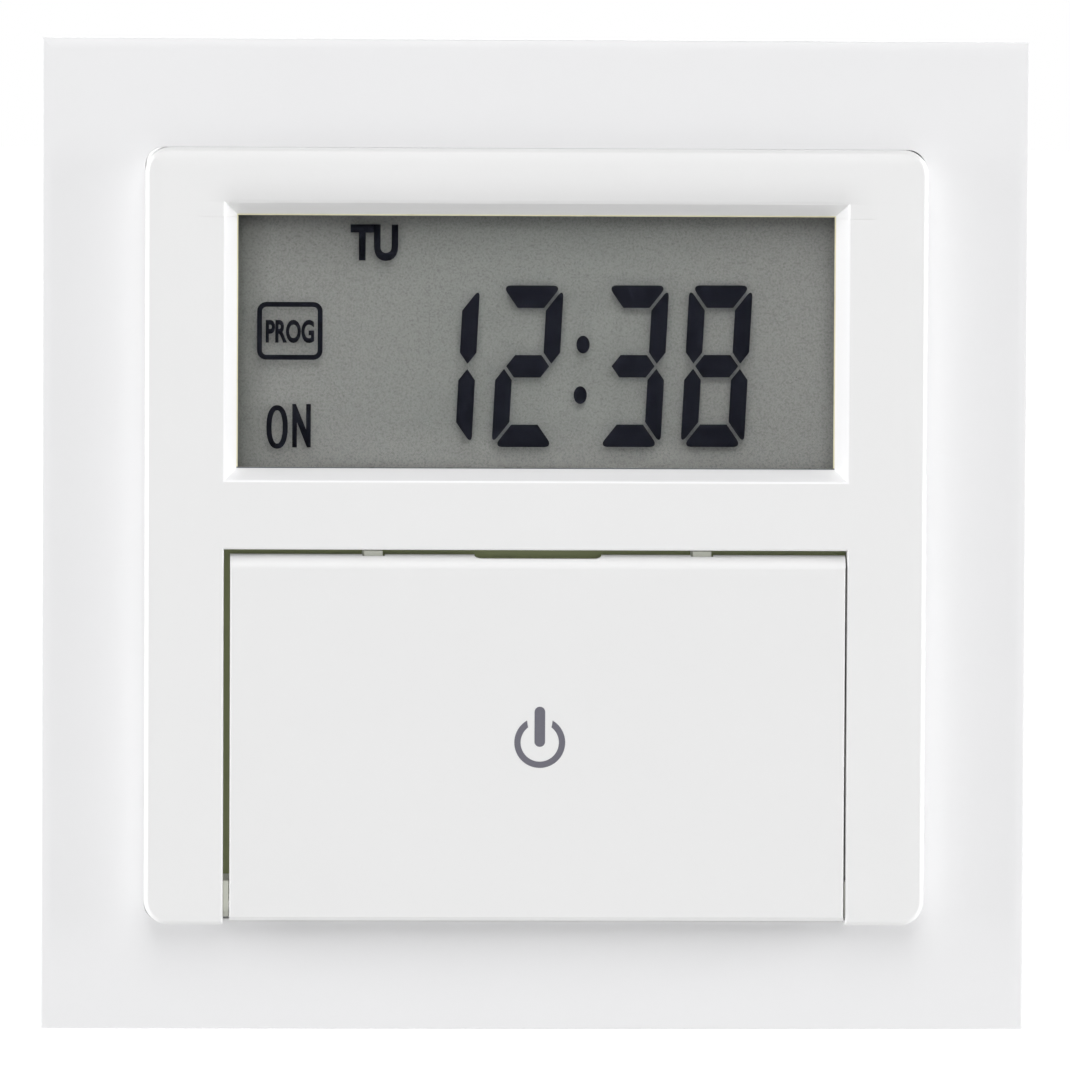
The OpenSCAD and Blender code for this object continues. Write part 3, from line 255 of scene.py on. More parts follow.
# Epoxy that the part was dipped in: glossy and a little lumpy
dipped_epoxy = patchy_coat("blue dipped epoxy", "#31609c", "#3f72b4", 3.2, 2.0, (0.16, 0.34), 0.12, 0.7,
                           1.55)
eased("varistor", "varistor_disc", dipped_epoxy, 0.9, 5)


def sleeved_can(name):
    """A black shrink sleeve with one pale stripe down its side, for the minus lead."""
    material, add = start_material(name)
    axes = add("SeparateXYZ")
    stripe = add("MapRange", {"From Min": 12.1 * MM, "From Max": 12.3 * MM, "Value": axes.outputs["X"]})
    cloud = add("TexNoise", {"Scale": 1 / (4 * MM), "Detail": 3.0})
    sleeve = add("Mix", {0: cloud, 6: "#1d1e22", 7: "#2a2b31"}, data_type="RGBA")
    colour = add("Mix", {0: stripe, 6: sleeve, 7: "#b9bcc0"}, data_type="RGBA")
    return surface(material, colour, (cloud, 0.22, 0.4), cloud, 0.02, 0.4)


eased("electrolytic_capacitor", "electrolytic_can", sleeved_can("shrink sleeve"), 0.5, 4)


def banded_lacquer(name):
    """Pale blue resistor lacquer with four colour bands, and tinned wire ends."""
    material, add = start_material(name)
    axes = add("SeparateXYZ")
    away = add("Math", {0: axes.outputs["X"]}, operation="ABSOLUTE")
    along = add("MapRange", {"From Min": 0.6 * MM, "From Max": 13.5 * MM, "Value": away})
    bands = add("ValToRGB", {"Fac": along})
    bands.color_ramp.interpolation = "CONSTANT"
    body, wire = "#7aa7c9", "#c3c5c6"
    stops = [(0.0, wire), (0.22, body), (0.3, "#6b3a1f"), (0.35, body), (0.42, "#1c1c1e"), (0.47, body),
             (0.54, "#b3261e"), (0.59, body), (0.7, "#b8923f"), (0.75, body), (0.81, wire)]
    ramp = bands.color_ramp.elements
    while len(ramp) < len(stops):
        ramp.new(1.0)
    for element, (position, colour) in zip(ramp, stops):
        element.position = position
        element.color = linear(colour)
    skin = add("TexNoise", {"Scale": 1 / (1.1 * MM), "Detail": 2.0})
    return surface(material, bands, (skin, 0.2, 0.38), skin, 0.03)


eased("resistors", "resistor_bodies", banded_lacquer("resistor lacquer"), corner=60)


# Terminals
# Brass contact bars and rising cages that clamp the wires, and their slotted steel screws. The
# strip was rolled and stamped, so fine lines run along it and its edges are lightly burred.

def rolled_metal(name, bright, dull, roughness, line_mm, along, patch_mm=5.0, depth_mm=0.0015):
    """Metal strip or wire: lines drawn along one axis, and soft patches where it has dulled."""
    material, add = start_material(name)
    squeeze = [1.0, 1.0, 1.0]
    squeeze[along] = 0.04
    drawn = add("Mapping", {"Scale": squeeze})
    lines = add("TexNoise", {"Scale": 1 / (line_mm * MM), "Detail": 3.0, "Roughness": 0.6,
                             "Vector": drawn})
    patch = add("TexNoise", {"Scale": 1 / (patch_mm * MM), "Detail": 5.0, "Roughness": 0.6})
    dulled = add("MapRange", {"From Min": 0.42, "From Max": 0.68, "Value": patch})
    colour = add("Mix", {0: dulled, 6: bright, 7: dull}, data_type="RGBA")
    mixed = add("Math", {0: lines, 1: patch}, operation="MULTIPLY")
    return surface(material, colour, (mixed, roughness - 0.1, roughness + 0.12, 0.12, 0.4), lines,
                   depth_mm, ior=None)


terminal_brass = rolled_metal("stamped brass strip", "#dcbb72", "#b18f4e", 0.3, 0.16, 1)
screw_steel = rolled_metal("zinc-plated screw steel", "#d4d6d8", "#a9acb0", 0.28, 0.14, 1)
for wire in ("live", "neutral", "load"):
    eased("terminal_cage_" + wire, "cage_" + wire, terminal_brass)
    eased("terminal_screw_" + wire, "clamp_screw_" + wire, screw_steel, 0.08)
eased("contact_bars", "contact_strip", terminal_brass, 0.1)


# Spreading claws
# Two toothed claws of hardened strip steel turn in the lid's lugs. A screw on each side draws a
# brass nut forward, which pushes the claw outwards against the wall of the box.

claw_strip = rolled_metal("hardened strip steel", "#b4b7ba", "#85888c", 0.36, 0.2, 1, 3.5)
nut_brass = rolled_metal("turned nut brass", "#d8b568", "#a9853f", 0.32, 0.18, 2, 4.0)
for side in ("left", "right"):
    eased("claw_" + side, "claw_strip_" + side, claw_strip)
    eased("claw_screw_" + side, "claw_bolt_" + side, screw_steel, 0.1)
    eased("claw_nut_" + side, "claw_block_" + side, nut_brass, 0.2)


# Mounting plate
# Galvanised sheet steel, stamped and bent. The zinc shows as faint spangles, the rolling as fine
# lines across the plate, and the press has rounded its upper edges a little.

def galvanised_sheet(name):
    """Zinc-coated sheet: spangles of a few millimetres over fine rolling lines."""
    material, add = start_material(name)
    spangle = add("TexVoronoi", {"Scale": 1 / (3.4 * MM), "Randomness": 1.0})
    tone = add("RGBToBW", {"Color": spangle.outputs["Color"]})
    colour = add("Mix", {0: tone, 6: "#c2c6ca", 7: "#d3d6d8"}, data_type="RGBA")
    rolled = add("Mapping", {"Scale": (0.03, 1.0, 1.0)})
    lines = add("TexNoise", {"Scale": 1 / (0.18 * MM), "Detail": 3.0, "Vector": rolled})
    sum_up = add("Math", {0: tone, 1: lines}, operation="ADD")
    return surface(material, colour, (sum_up, 0.26, 0.46, 0.3, 1.5), sum_up, 0.003, ior=None)


eased("mounting_plate", "plate_stamping", galvanised_sheet("galvanised sheet"), 0.14, 2)
eased("plate_screws", "plate_bolts", screw_steel, 0.16)


# Rear shell of the control head
# Plain white ABS, clipped into the lid of the base by four hooks. Four self-tapping screws close
# it, and a row of gilt pins carries the signals to the power board.

shell_white = moulded_plastic("white rear shell ABS", "#e6e7e6", "#dedfde", 0.42)
eased("rear_shell", "shell_moulding", shell_white, 0.15)
eased("shell_screws", "closing_screws", screw_steel)
pin_metal = rolled_metal("gilt pin metal", "#d9c07a", "#b89a54", 0.24, 0.1, 1, 2.0)
eased("pin_header", "pin_row", pin_metal, 0.06, 1)
eased("socket_header", "pin_socket", black_epoxy, 0.15)


# Control board and its parts
# The controller, its clock crystal, a coin cell in a spring clip and small ceramic parts sit on
# the back. The push switch for the flap and the snap domes sit on the front. The domes are drawn
# as low as a pressed one, which leaves the keys room to travel.

eased("control_board", "control_board_cut", board_green, 0.08, 1)
eased("microcontroller", "controller_chip", black_epoxy, 0.08, 1)
can_nickel = rolled_metal("nickel can", "#cfd1d2", "#b3b6b8", 0.22, 0.2, 0, 6.0)
eased("quartz_crystal", "crystal_can", can_nickel, 0.25, 3)
eased("backup_battery", "coin_cell", can_nickel, 0.35, 4)
spring_strip = rolled_metal("spring strip", "#c6c8c9", "#9c9fa2", 0.26, 0.12, 0, 3.0)
eased("battery_clip", "cell_clip", spring_strip, 0.05, 1)
ceramic = moulded_plastic("fired ceramic", "#9a8563", "#84704f", 0.5, grain_mm=0.15, grain_depth_mm=0.01)
eased("board_parts", "chip_parts", ceramic, 0.08)
domes = open_copy("snap_domes", "snap_dome_set")
pressed_height, dome_foot = 0.46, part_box("snap_domes")[1].y
bpy.ops.transform.resize(value=(1, pressed_height, 1), center_override=(0, dome_foot, 0))
round_edges(domes, 0.14, 3)
stand_in(close_shape(domes), "snap_domes", spring_strip)
eased("tact_switch", "push_switch", black_epoxy)


# Keys and key panel
# A matt olive panel under the flap guides eight soft grey keys. The reset key lies back in its
# hole, where only a pen tip reaches it.

panel_olive = moulded_plastic("matt olive ABS", "#8e907c", "#838571", 0.48, drift=0.08, grain_mm=0.3,
                              grain_depth_mm=0.008)
key_grey = moulded_plastic("soft grey key ABS", "#dbdcdb", "#d2d3d2", 0.44, grain_mm=0.22,
                           grain_depth_mm=0.006)
panel = open_copy("key_panel", "panel_moulding")
round_edges(panel, 0.25, 3, lambda middle: middle.y < -9.9)
round_edges(panel, 0.1, 1, lambda middle: middle.y > -9.6)
stand_in(close_shape(panel), "key_panel", panel_olive)
# The panel's wide rim, which covers the board beside the keys
panel_low, panel_high = (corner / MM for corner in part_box("key_panel"))
skirt_half, skirt_front, skirt_back, skirt_foot, skirt_top = 26.2, -8.1, -7.42, -28.6, -4.75


def made_by(operator, name, scale=(1, 1, 1), **options):
    """A piece from one of Blender's own shapes, in object mode, with its place and size applied."""
    bpy.ops.object.select_all(action="DESELECT")
    operator(**options)
    piece = bpy.context.object
    piece.name = name
    piece.scale = scale
    bpy.ops.object.transform_apply(location=True, rotation=True, scale=True)
    return piece


def block(name, low, high):
    """A solid block between two corners in millimetres."""
    return made_by(bpy.ops.mesh.primitive_cube_add, name, size=1,
                   location=[(a + b) / 2 * MM for a, b in zip(low, high)],
                   scale=[(b - a) * MM for a, b in zip(low, high)])


def combine(piece, tool, how):
    """Cuts a tool out of a piece, or adds it, and removes the tool."""
    pick(piece)
    change(piece, "BOOLEAN", operation=how, solver="EXACT", object=tool)
    bpy.data.objects.remove(tool)


skirt = block("panel_skirt", (-skirt_half, skirt_front, skirt_foot), (skirt_half, skirt_back, skirt_top))
combine(skirt, block("panel_room", (panel_low.x - 0.05, skirt_front - 1, panel_low.z - 0.05),
                     (panel_high.x + 0.05, skirt_back + 1, panel_high.z + 0.05)), "DIFFERENCE")
enter("EDIT")
round_edges(skirt, 0.08, 2)
close_shape(skirt).data.materials.append(panel_olive)
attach(skirt, body_of["key_panel"])

cap_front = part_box("key_day")[0].y / MM
for use in ("day", "hour", "minute", "clock", "program", "manual", "random", "output"):
    cap = open_copy("key_" + use, "cap_" + use)
    round_edges(cap, 0.45, 5, lambda middle: middle.y < cap_front + 0.1)
    stand_in(close_shape(cap), "key_" + use, key_grey)
eased("reset_key", "reset_cap", key_grey, 0.2, 3)
eased("on_off_plunger", "switch_plunger", key_grey, 0.2, 3)


# Display
# A reflective liquid crystal cell: film, two glasses and the dark figures between them, held in a
# white bracket behind a clear pane. A striped rubber strip feeds it from the board.

bracket_white = moulded_plastic("white bracket polycarbonate", "#dfe0df", "#d6d7d6", 0.4)
eased("lcd_bracket", "display_bracket", bracket_white)


def striped_rubber(name):
    """Contact rubber: dark conducting stripes in pink silicone. They are 0.1 mm wide, and drawn
    at 0.5 mm so that they show."""
    material, add = start_material(name)
    wave = add("TexWave", {"Scale": 1 / (10 * MM), "Distortion": 0.3}, wave_type="BANDS",
               bands_direction="X")
    stripes = wave.outputs["Fac"]
    crisp = add("MapRange", {"From Min": 0.45, "From Max": 0.55, "Value": stripes})
    colour = add("Mix", {0: crisp, 6: "#d9b8b2", 7: "#3a3436"}, data_type="RGBA")
    return surface(material, colour, (crisp, 0.6, 0.75), stripes, 0.01, 0.4, 1.43)


eased("zebra_strip", "contact_rubber", striped_rubber("striped silicone"), 0.15, 2)


def reflector_film(name):
    """The grey ground of the display: a sparkling reflector. Painted light makes it paler towards both
    ends and at its foot, against the shade of the window's sides and lower edge, and painted shade makes
    its left end darker. Its grain of 0.05 mm is drawn at 0.17 mm so that it shows."""
    material, add = start_material(name)
    grain = add("TexNoise", {"Scale": 1 / (0.17 * MM), "Detail": 4.0, "Roughness": 0.7})
    axes = add("SeparateXYZ")
    away = add("Math", {0: axes.outputs["X"]}, operation="ABSOLUTE")
    # Painted light: paler towards both ends, against the shade of the window's sides
    ends = add("MapRange", {"From Min": 4 * MM, "From Max": 24 * MM, "Value": away},
               interpolation_type="SMOOTHSTEP")
    lit_ends = add("Mix", {0: ends, 6: "#656766", 7: "#6f706f"}, data_type="RGBA")
    # Painted shade: darker towards the left end, as the shadow of the window's left side
    left = add("MapRange", {"From Min": -24.3 * MM, "From Max": -21.4 * MM, "To Min": 0.75, "To Max": 0.0,
                            "Value": axes.outputs["X"]})
    # Painted light: paler at the foot, against the shade of the window's lower edge
    foot = add("MapRange", {"From Min": 9.0 * MM, "From Max": 5.5 * MM, "Value": axes.outputs["Z"]})
    paler = add("Mix", {0: foot, 6: lit_ends, 7: "#737473"}, data_type="RGBA")
    ground = add("Mix", {0: left, 6: paler, 7: "#474947"}, data_type="RGBA")
    dark = add("Mix", {0: 1.0, 6: ground, 7: (0.5, 0.5, 0.5, 1)}, data_type="RGBA", blend_type="MULTIPLY")
    sparkle = add("MapRange", {"From Min": 0.25, "From Max": 0.55, "Value": grain})
    colour = add("Mix", {0: sparkle, 6: dark, 7: ground}, data_type="RGBA")
    return surface(material, colour, (grain, 0.5, 0.7), grain, 0.004, 0.3)


def thinned(node, name, material, share):
    """A sheet's shape, a little thinner, so that it doesn't share its faces with its neighbours."""
    piece = open_copy(node, name)
    low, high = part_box(node)
    bpy.ops.mesh.select_all(action="SELECT")
    bpy.ops.transform.resize(value=(1, share, 1), center_override=(low + high) / 2)
    return stand_in(close_shape(piece), node, material)


reflector = reflector_film("display reflector film")
thinned("lcd_reflector", "reflector_sheet", reflector, 0.8)


def clear_sheet(name, tint, roughness, ior):
    """Clear sheet that lets lamps through to what lies behind it, with a trace of haze. An ior
    of 1 stands for a coating, or a bonded neighbour, that takes the reflections away."""
    material, add = start_material(name)
    haze = add("TexNoise", {"Scale": 1 / (8 * MM), "Detail": 5.0})
    gloss = add("MapRange", {"To Min": roughness * 0.6, "To Max": roughness * 1.4, "Value": haze})
    glass = add("BsdfPrincipled", {"Base Color": tint, "IOR": ior, "Transmission Weight": 1.0,
                                   "Roughness": gloss})
    through = add("BsdfTransparent", {"Color": tint})
    ray = add("LightPath")
    mixed = add("MixShader", {0: ray.outputs["Is Shadow Ray"], 1: glass, 2: through})
    add("OutputMaterial", {"Surface": mixed})
    return material


display_glass = clear_sheet("display glass", "#fcfcfb", 0.02, 1.0)
thinned("lcd_front_glass", "front_glass", display_glass, 0.94)
thinned("lcd_rear_glass", "rear_glass", display_glass, 0.94)
clear_acrylic = clear_sheet("clear pane acrylic", "#fdfdfd", 0.03, 1.0)
thinned("window_pane", "clear_pane", clear_acrylic, 0.94)

# Sizes of the figures, as on the display, and the places of what it shows
figure_height, figure_width = 13.1 * MM, 5.15 * MM
upright, level, parting = 1.35 * MM, 1.82 * MM, 0.25 * MM
figure_lean = math.tan(math.radians(2.9))
figure_foot, figure_tilt = 7.21 * MM, 0.0042
figure_right = {"1": -4.52, "2": 2.26, "3": 10.81, "8": 17.59}
lit_bars = {"1": "bc", "2": "abged", "3": "abgcd", "8": "abcdefg"}
corner_round, dots_x, dots_z, dot_lift = 0.7 * MM, 3.73, 13.5, 2.05
dot_half_w, dot_half_h = 0.54 * MM, 0.72 * MM
film_t = 0.02 * MM
film_y = (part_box("lcd_segments")[0].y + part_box("lcd_segments")[1].y) / 2


def flat_piece(name, y, points):
    """A flat face at one depth, in edit mode, with its corners at the given places in X and Z."""
    face = made_by(bpy.ops.mesh.primitive_circle_add, name, vertices=len(points), radius=MM,
                   fill_type="NGON", rotation=(math.radians(90), 0, 0))
    for vertex, (x, z) in zip(face.data.vertices, points):
        vertex.co = (x, y, z)
    enter("EDIT")
    return face


def cut_to_rim(width):
    """Leaves only a rim, of the given width, of the flat face in edit mode."""
    bpy.ops.mesh.select_all(action="SELECT")
    bpy.ops.mesh.inset(thickness=width, depth=0)
    bpy.ops.mesh.delete(type="FACE")


def face_outwards():
    """Points all faces of the piece in edit mode outwards, and leaves edit mode."""
    bpy.ops.mesh.select_all(action="SELECT")
    bpy.ops.mesh.normals_make_consistent(inside=False)
    enter("OBJECT")


def round_corners(face, indices, radius, segments=5):
    """Rounds some corners of a flat face, by their index, in edit mode."""
    bpy.ops.mesh.select_mode(type="VERT")
    bpy.ops.mesh.select_all(action="DESELECT")
    mesh = bmesh.from_edit_mesh(face.data)
    mesh.verts.ensure_lookup_table()
    for index in indices:
        mesh.verts[index].select_set(True)
    bmesh.update_edit_mesh(face.data)
    bpy.ops.mesh.bevel(offset=radius, segments=segments, affect="VERTICES", clamp_overlap=True)


def bar_outline(bar):
    """The corners of one bar of a figure, and which of them are rounded. a is the top bar, b and
    c the right ones, d the bottom one, e and f the left ones, and g the middle one."""
    w, h, mid = figure_width, figure_height, figure_height / 2
    slant = math.hypot(upright, level)
    step_x = parting / 2 * slant / level
    step_z = parting / 2 * slant / upright
    if bar in "ad":
        points = [(step_x, h), (w - step_x, h), (w - upright - step_x, h - level),
                  (upright + step_x, h - level)]
        rounded = [0, 1]
    elif bar == "g":
        points = [(upright / 2 + step_x, mid), (upright + step_x, mid + level / 2),
                  (w - upright - step_x, mid + level / 2), (w - upright / 2 - step_x, mid),
                  (w - upright - step_x, mid - level / 2), (upright + step_x, mid - level / 2)]
        rounded = []
    else:
        points = [(0, h - step_z), (upright, h - level - step_z), (upright, mid + level / 2 + step_z),
                  (upright / 2, mid + step_z), (0, mid + level / 2 + step_z)]
        rounded = [0]
    if bar in "bc":
        points = [(w - x, z) for x, z in points]
    if bar in "dce":
        points = [(x, h - z) for x, z in points]
    return points, rounded


def oval(x, z, half_w, half_h, steps, power=1.0):
    """Places round an oval, which is squarer than an ellipse where power is below 1."""
    around = [(math.cos(turn * math.tau / steps), math.sin(turn * math.tau / steps))
              for turn in range(steps)]
    return [(x + half_w * math.copysign(abs(across) ** power, across),
             z + half_h * math.copysign(abs(along) ** power, along)) for across, along in around]


def join(parts, name):
    """Joins several pieces into one."""
    pick(parts[0])
    for part in parts:
        part.select_set(True)
    bpy.ops.object.join()
    parts[0].name = name
    return parts[0]


def word(text, left, foot, width, height, weight):
    """A word in flat letters that fill a box of the given width and height."""
    bpy.ops.object.text_add()
    letters = bpy.context.object
    letters.data.body = text
    letters.data.offset = weight
    letters.data.resolution_u = 5
    bpy.ops.object.convert(target="MESH")
    low = Vector([min(v.co[i] for v in letters.data.vertices) for i in range(3)])
    high = Vector([max(v.co[i] for v in letters.data.vertices) for i in range(3)])
    for vertex in letters.data.vertices:
        share = [(vertex.co[i] - low[i]) / (high[i] - low[i]) for i in (0, 1)]
        vertex.co = (left + share[0] * width, film_y, foot + share[1] * height)
    return letters


shown = []
for value, right_end in figure_right.items():
    for bar in lit_bars[value]:
        outline, rounded = bar_outline(bar)
        placed = [(right_end * MM - figure_width + x + (z - figure_height) * figure_lean,
                   figure_foot + figure_tilt * right_end * MM + z) for x, z in outline]
        strip = flat_piece("bar", film_y, placed)
        if rounded:
            round_corners(strip, rounded, corner_round)
        enter("OBJECT")
        shown.append(strip)
for lift in (-dot_lift, dot_lift):
    shown.append(flat_piece("dot", film_y, oval((dots_x + lift * figure_lean) * MM, (dots_z + lift) * MM,
                                                dot_half_w, dot_half_h, 28)))
    enter("OBJECT")
box_x, box_z, box_w, box_h, box_line = -19.91 * MM, 16.57 * MM, 5.3 * MM, 4.68 * MM, 0.4 * MM
rim = flat_piece("rim", film_y, [(box_x + i * box_w / 2, box_z + j * box_h / 2)
                                 for i, j in ((-1, -1), (1, -1), (1, 1), (-1, 1))])
round_corners(rim, (0, 1, 2, 3), 0.75 * MM, 6)
cut_to_rim(box_line)
enter("OBJECT")
shown.append(rim)
shown.append(word("TU", -15.03 * MM, 22.25 * MM, 3.86 * MM, 2.95 * MM, 0.042))
shown.append(word("PROG", -21.86 * MM, 15.59 * MM, 3.92 * MM, 1.88 * MM, 0.036))
shown.append(word("N", -19.69 * MM, 7.135 * MM, 1.5 * MM, 3.52 * MM, 0.045))
# The O is a ring with an even stroke, a little squarer than an ellipse
o_x, o_z, o_half_w, o_half_h, o_line = -20.915 * MM, 8.786 * MM, 0.868 * MM, 1.765 * MM, 0.42 * MM
letter_o = flat_piece("letter_o", film_y, oval(o_x, o_z, o_half_w, o_half_h, 40, 0.87))
cut_to_rim(o_line)
enter("OBJECT")
shown.append(letter_o)
figures = join(shown, "display_figures")
enter("EDIT")
bpy.ops.mesh.remove_doubles(threshold=0.002 * MM)
bpy.ops.mesh.dissolve_degenerate(threshold=0.002 * MM)
face_outwards()
change(figures, "SOLIDIFY", thickness=film_t, offset=0)
# Switched liquid crystal: nearly black with a blue cast, a little thinner in patches
crystal_ink = patchy_coat("liquid crystal ink", "#0f1016", "#17181e", 0.8, 3.0, (0.4, 0.6), 0.002, 0.2,
                          1.5, mirror=0.0)
stand_in(figures, "lcd_segments", crystal_ink)


# Outer frame
# A square bezel in glossy white ABS. Its outer edges are rounded off and its four corners are
# crisp. Hands and cloths have polished the rounded rim a little more than the flat.

def handled_white(name, pale, deep, roughness, reach, polish, fall, dip=None, lit_bevel=None):
    """Glossy white ABS with a rim that is worn smoother. reach is half the width and half the
    height of the piece and the width of the worn rim. fall is how wide and how deep the face
    falls off towards its sides and top, and dip where it sinks above the window: the half width,
    the lower and the upper edge, and the depth. The last argument tells where the bevel of the window,
    but for its upper side, is painted a lighter white, painted light on its sides and foot: half its
    width and height, its middle and its width."""
    half_w, half_h, rim_w = (value * MM for value in reach)
    material, add = start_material(name)
    cloud = add("TexNoise", {"Scale": 1 / (16 * MM), "Detail": 2.0})
    colour = add("Mix", {0: cloud, 6: deep, 7: pale}, data_type="RGBA")
    axes = add("SeparateXYZ")
    across, up = axes.outputs["X"], axes.outputs["Z"]
    away = add("Math", {0: across}, operation="ABSOLUTE")
    if lit_bevel:
        # Painted light: the window's bevel, but for its upper side, is painted a lighter white
        half, half_high, middle, bevel = (value * MM for value in lit_bevel)
        rise = add("Math", {0: up, 1: middle}, operation="SUBTRACT")
        apart = add("Math", {0: rise}, operation="ABSOLUTE")
        past_side = add("Math", {0: away, 1: half}, operation="SUBTRACT")
        past_top = add("Math", {0: rise, 1: half_high}, operation="SUBTRACT")
        beside = add("Math", {0: past_side, 1: bevel}, operation="LESS_THAN")
        level = add("Math", {0: apart, 1: half_high + bevel}, operation="LESS_THAN")
        mitre = add("Math", {0: past_side, 1: -half_high}, operation="MAXIMUM")
        lower = add("Math", {0: past_top, 1: mitre}, operation="LESS_THAN")
        near = add("Math", {0: beside, 1: level}, operation="MULTIPLY")
        bevel_light_mask = add("Math", {0: near, 1: lower}, operation="MULTIPLY")
        colour = add("Mix", {0: bevel_light_mask, 6: colour, 7: "#fbfbfc"}, data_type="RGBA")
    past_sides = add("Math", {0: away, 1: half_w}, operation="SUBTRACT")
    past_end = add("Math", {0: up, 1: half_h}, operation="SUBTRACT")
    nearest = add("Math", {0: past_sides, 1: past_end}, operation="MAXIMUM")
    rim = add("MapRange", {"From Min": -rim_w, "From Max": 0.0, "Value": nearest},
              interpolation_type="SMOOTHSTEP")
    smear = add("TexNoise", {"Scale": 1 / (5.0 * MM), "Detail": 2.0})
    gloss = add("MapRange", {"From Min": 0.3, "From Max": 0.7, "To Min": roughness - 0.01,
                             "To Max": roughness + 0.015, "Value": smear})
    worn = add("Math", {0: rim, 1: -polish, 2: gloss}, operation="MULTIPLY_ADD")
    slope = add("MapRange", {"From Min": -fall[0] * MM, "From Max": 0.0, "Value": nearest})
    bend = add("Math", {0: slope, 1: 2.0}, operation="POWER")
    height = add("Math", {0: bend, 1: -fall[1] * MM}, operation="MULTIPLY")
    if dip:
        half, low, high, depth = (value * MM for value in dip)
        near_low = add("MapRange", {"From Min": high, "From Max": low, "Value": up})
        curve = add("Math", {0: near_low, 1: 2.0}, operation="POWER")
        ends = add("MapRange", {"From Min": half + 2.4 * MM, "From Max": half - 1.2 * MM, "Value": away},
                   interpolation_type="SMOOTHSTEP")
        over = add("Math", {0: up, 1: low - 1.2 * MM}, operation="GREATER_THAN")
        part = add("Math", {0: curve, 1: ends}, operation="MULTIPLY")
        sunk = add("Math", {0: part, 1: over}, operation="MULTIPLY")
        height = add("Math", {0: sunk, 1: -depth, 2: height}, operation="MULTIPLY_ADD")
    soft = add("Bump", {"Strength": 1.0, "Distance": 1.0, "Height": height})
    grain = add("TexNoise", {"Scale": 1 / (0.35 * MM), "Detail": 2.0})
    bump = add("Bump", {"Strength": 0.35, "Distance": 0.0003 * MM, "Height": grain, "Normal": soft})
    shader = add("BsdfPrincipled", {"IOR": 1.53, "Base Color": colour, "Roughness": worn, "Normal": bump})
    add("OutputMaterial", {"Surface": shader})
    return material


frame_low, frame_high = (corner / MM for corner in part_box("outer_frame"))
frame_half_w, frame_half_h, frame_front = frame_high.x, frame_high.z, frame_low.y
frame_white = handled_white("glossy white frame ABS", "#efeff0", "#ededee", 0.33,
                            (frame_half_w, frame_half_h, 1.2), 0.04, (0.95, 0.16))


def on_outer_wall(middle, margin=0.3):
    """Tells whether a place lies on the frame's outer wall, or nearly so."""
    return abs(middle.x) > frame_half_w - margin or abs(middle.z) > frame_half_h - margin


bezel = open_copy("outer_frame", "bezel_moulding")
opening_w, opening_h, play = 31.7, 31.5, 0.104
mesh = bmesh.from_edit_mesh(bezel.data)
for vertex in mesh.verts:
    x, z = abs(vertex.co.x) / MM, abs(vertex.co.z) / MM
    if x < opening_w + 0.02 and z < opening_h + 0.02:
        vertex.co.x *= (opening_w - play) / opening_w
        vertex.co.z *= (opening_h - play) / opening_h
bmesh.update_edit_mesh(bezel.data)
round_edges(bezel, 0.2, 4, lambda middle: on_outer_wall(middle) and middle.y < frame_front + 0.05,
            corner=60)
round_edges(bezel, 0.15, 2, lambda middle: abs(middle.x) > frame_half_w - 0.01
            and abs(middle.z) > frame_half_h - 0.01 and middle.y > frame_front + 0.5, corner=60)
round_edges(bezel, 0.06, 2, lambda middle: not on_outer_wall(middle, 2.0)
            and middle.y < frame_front + 0.05)
round_edges(bezel, 0.12, 1, lambda middle: middle.y > frame_front + 1.2
            and not on_outer_wall(middle, 0.4))
stand_in(close_shape(bezel), "outer_frame", frame_white)


# Front cover
# The white face of the control head. Its edge rolls over evenly all round, the face dips softly
# towards the bevel of the window, and two legs reach down beside the flap.

cover_low, cover_high = (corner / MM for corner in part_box("front_cover"))
cover_half_w, cover_half_h, cover_front, cover_back = (cover_high.x, cover_high.z, cover_low.y,
                                                       cover_high.y)
face_t, wall_t, cover_corner, cover_roll = 1.6, 1.6, 2.0, 0.4
window_half_w, window_half_h, window_z = 24.18, 10.24, 15.79
window_bevel, window_bevel_depth, window_roll = 1.0, 1.55, 0.3
opening_half, opening_top, opening_roll = 25.2, -1.0, 0.22
leg_cut, foot_cut, foot_z = -9.5, -10.12, -31.15


def rod(name, centre, radius, low, high, axis):
    """A round bar along X or Y. centre is its place across, as (y, z) or (x, z)."""
    middle = (low + high) / 2
    if axis == "X":
        place, turn = (middle, *centre), (0, math.radians(90), 0)
    else:
        place, turn = (centre[0], middle, centre[1]), (math.radians(90), 0, 0)
    return made_by(bpy.ops.mesh.primitive_cylinder_add, name, vertices=48, radius=radius * MM,
                   depth=(high - low) * MM, rotation=turn,
                   location=[value * MM for value in place])


def draw_out(depth):
    """Draws the faces in edit mode out along Y."""
    bpy.ops.mesh.extrude_region_move(TRANSFORM_OT_translate={"value": (0, depth * MM, 0)})


def plate(name, centre, half_w, half_h, y):
    """A flat rectangle that faces the front, in edit mode with all of it selected."""
    flat = made_by(bpy.ops.mesh.primitive_plane_add, name, size=1, rotation=(math.radians(90), 0, 0),
                   location=(centre[0] * MM, y * MM, centre[1] * MM),
                   scale=(2 * half_w * MM, 2 * half_h * MM, 1))
    enter("EDIT")
    return flat


def flared_cutter(name, centre, half_w, half_h, profile):
    """A rectangular cutter for an opening in the cover's face. profile lists how far its sides
    stand out and how deep they lie, from the back to the front."""
    steps = [(0, face_t + 1), *profile, (profile[-1][0] + 0.02, -0.5)]
    levels = [(half_w + out, half_h + out, cover_front + depth) for out, depth in steps]
    cutter = plate(name, centre, *levels[0])
    for (old_w, old_h, old_y), (new_w, new_h, new_y) in zip(levels, levels[1:]):
        draw_out(new_y - old_y)
        bpy.ops.transform.resize(value=(new_w / old_w, 1, new_h / old_h),
                                 center_override=(centre[0] * MM, new_y * MM, centre[1] * MM))
    face_outwards()
    return cutter


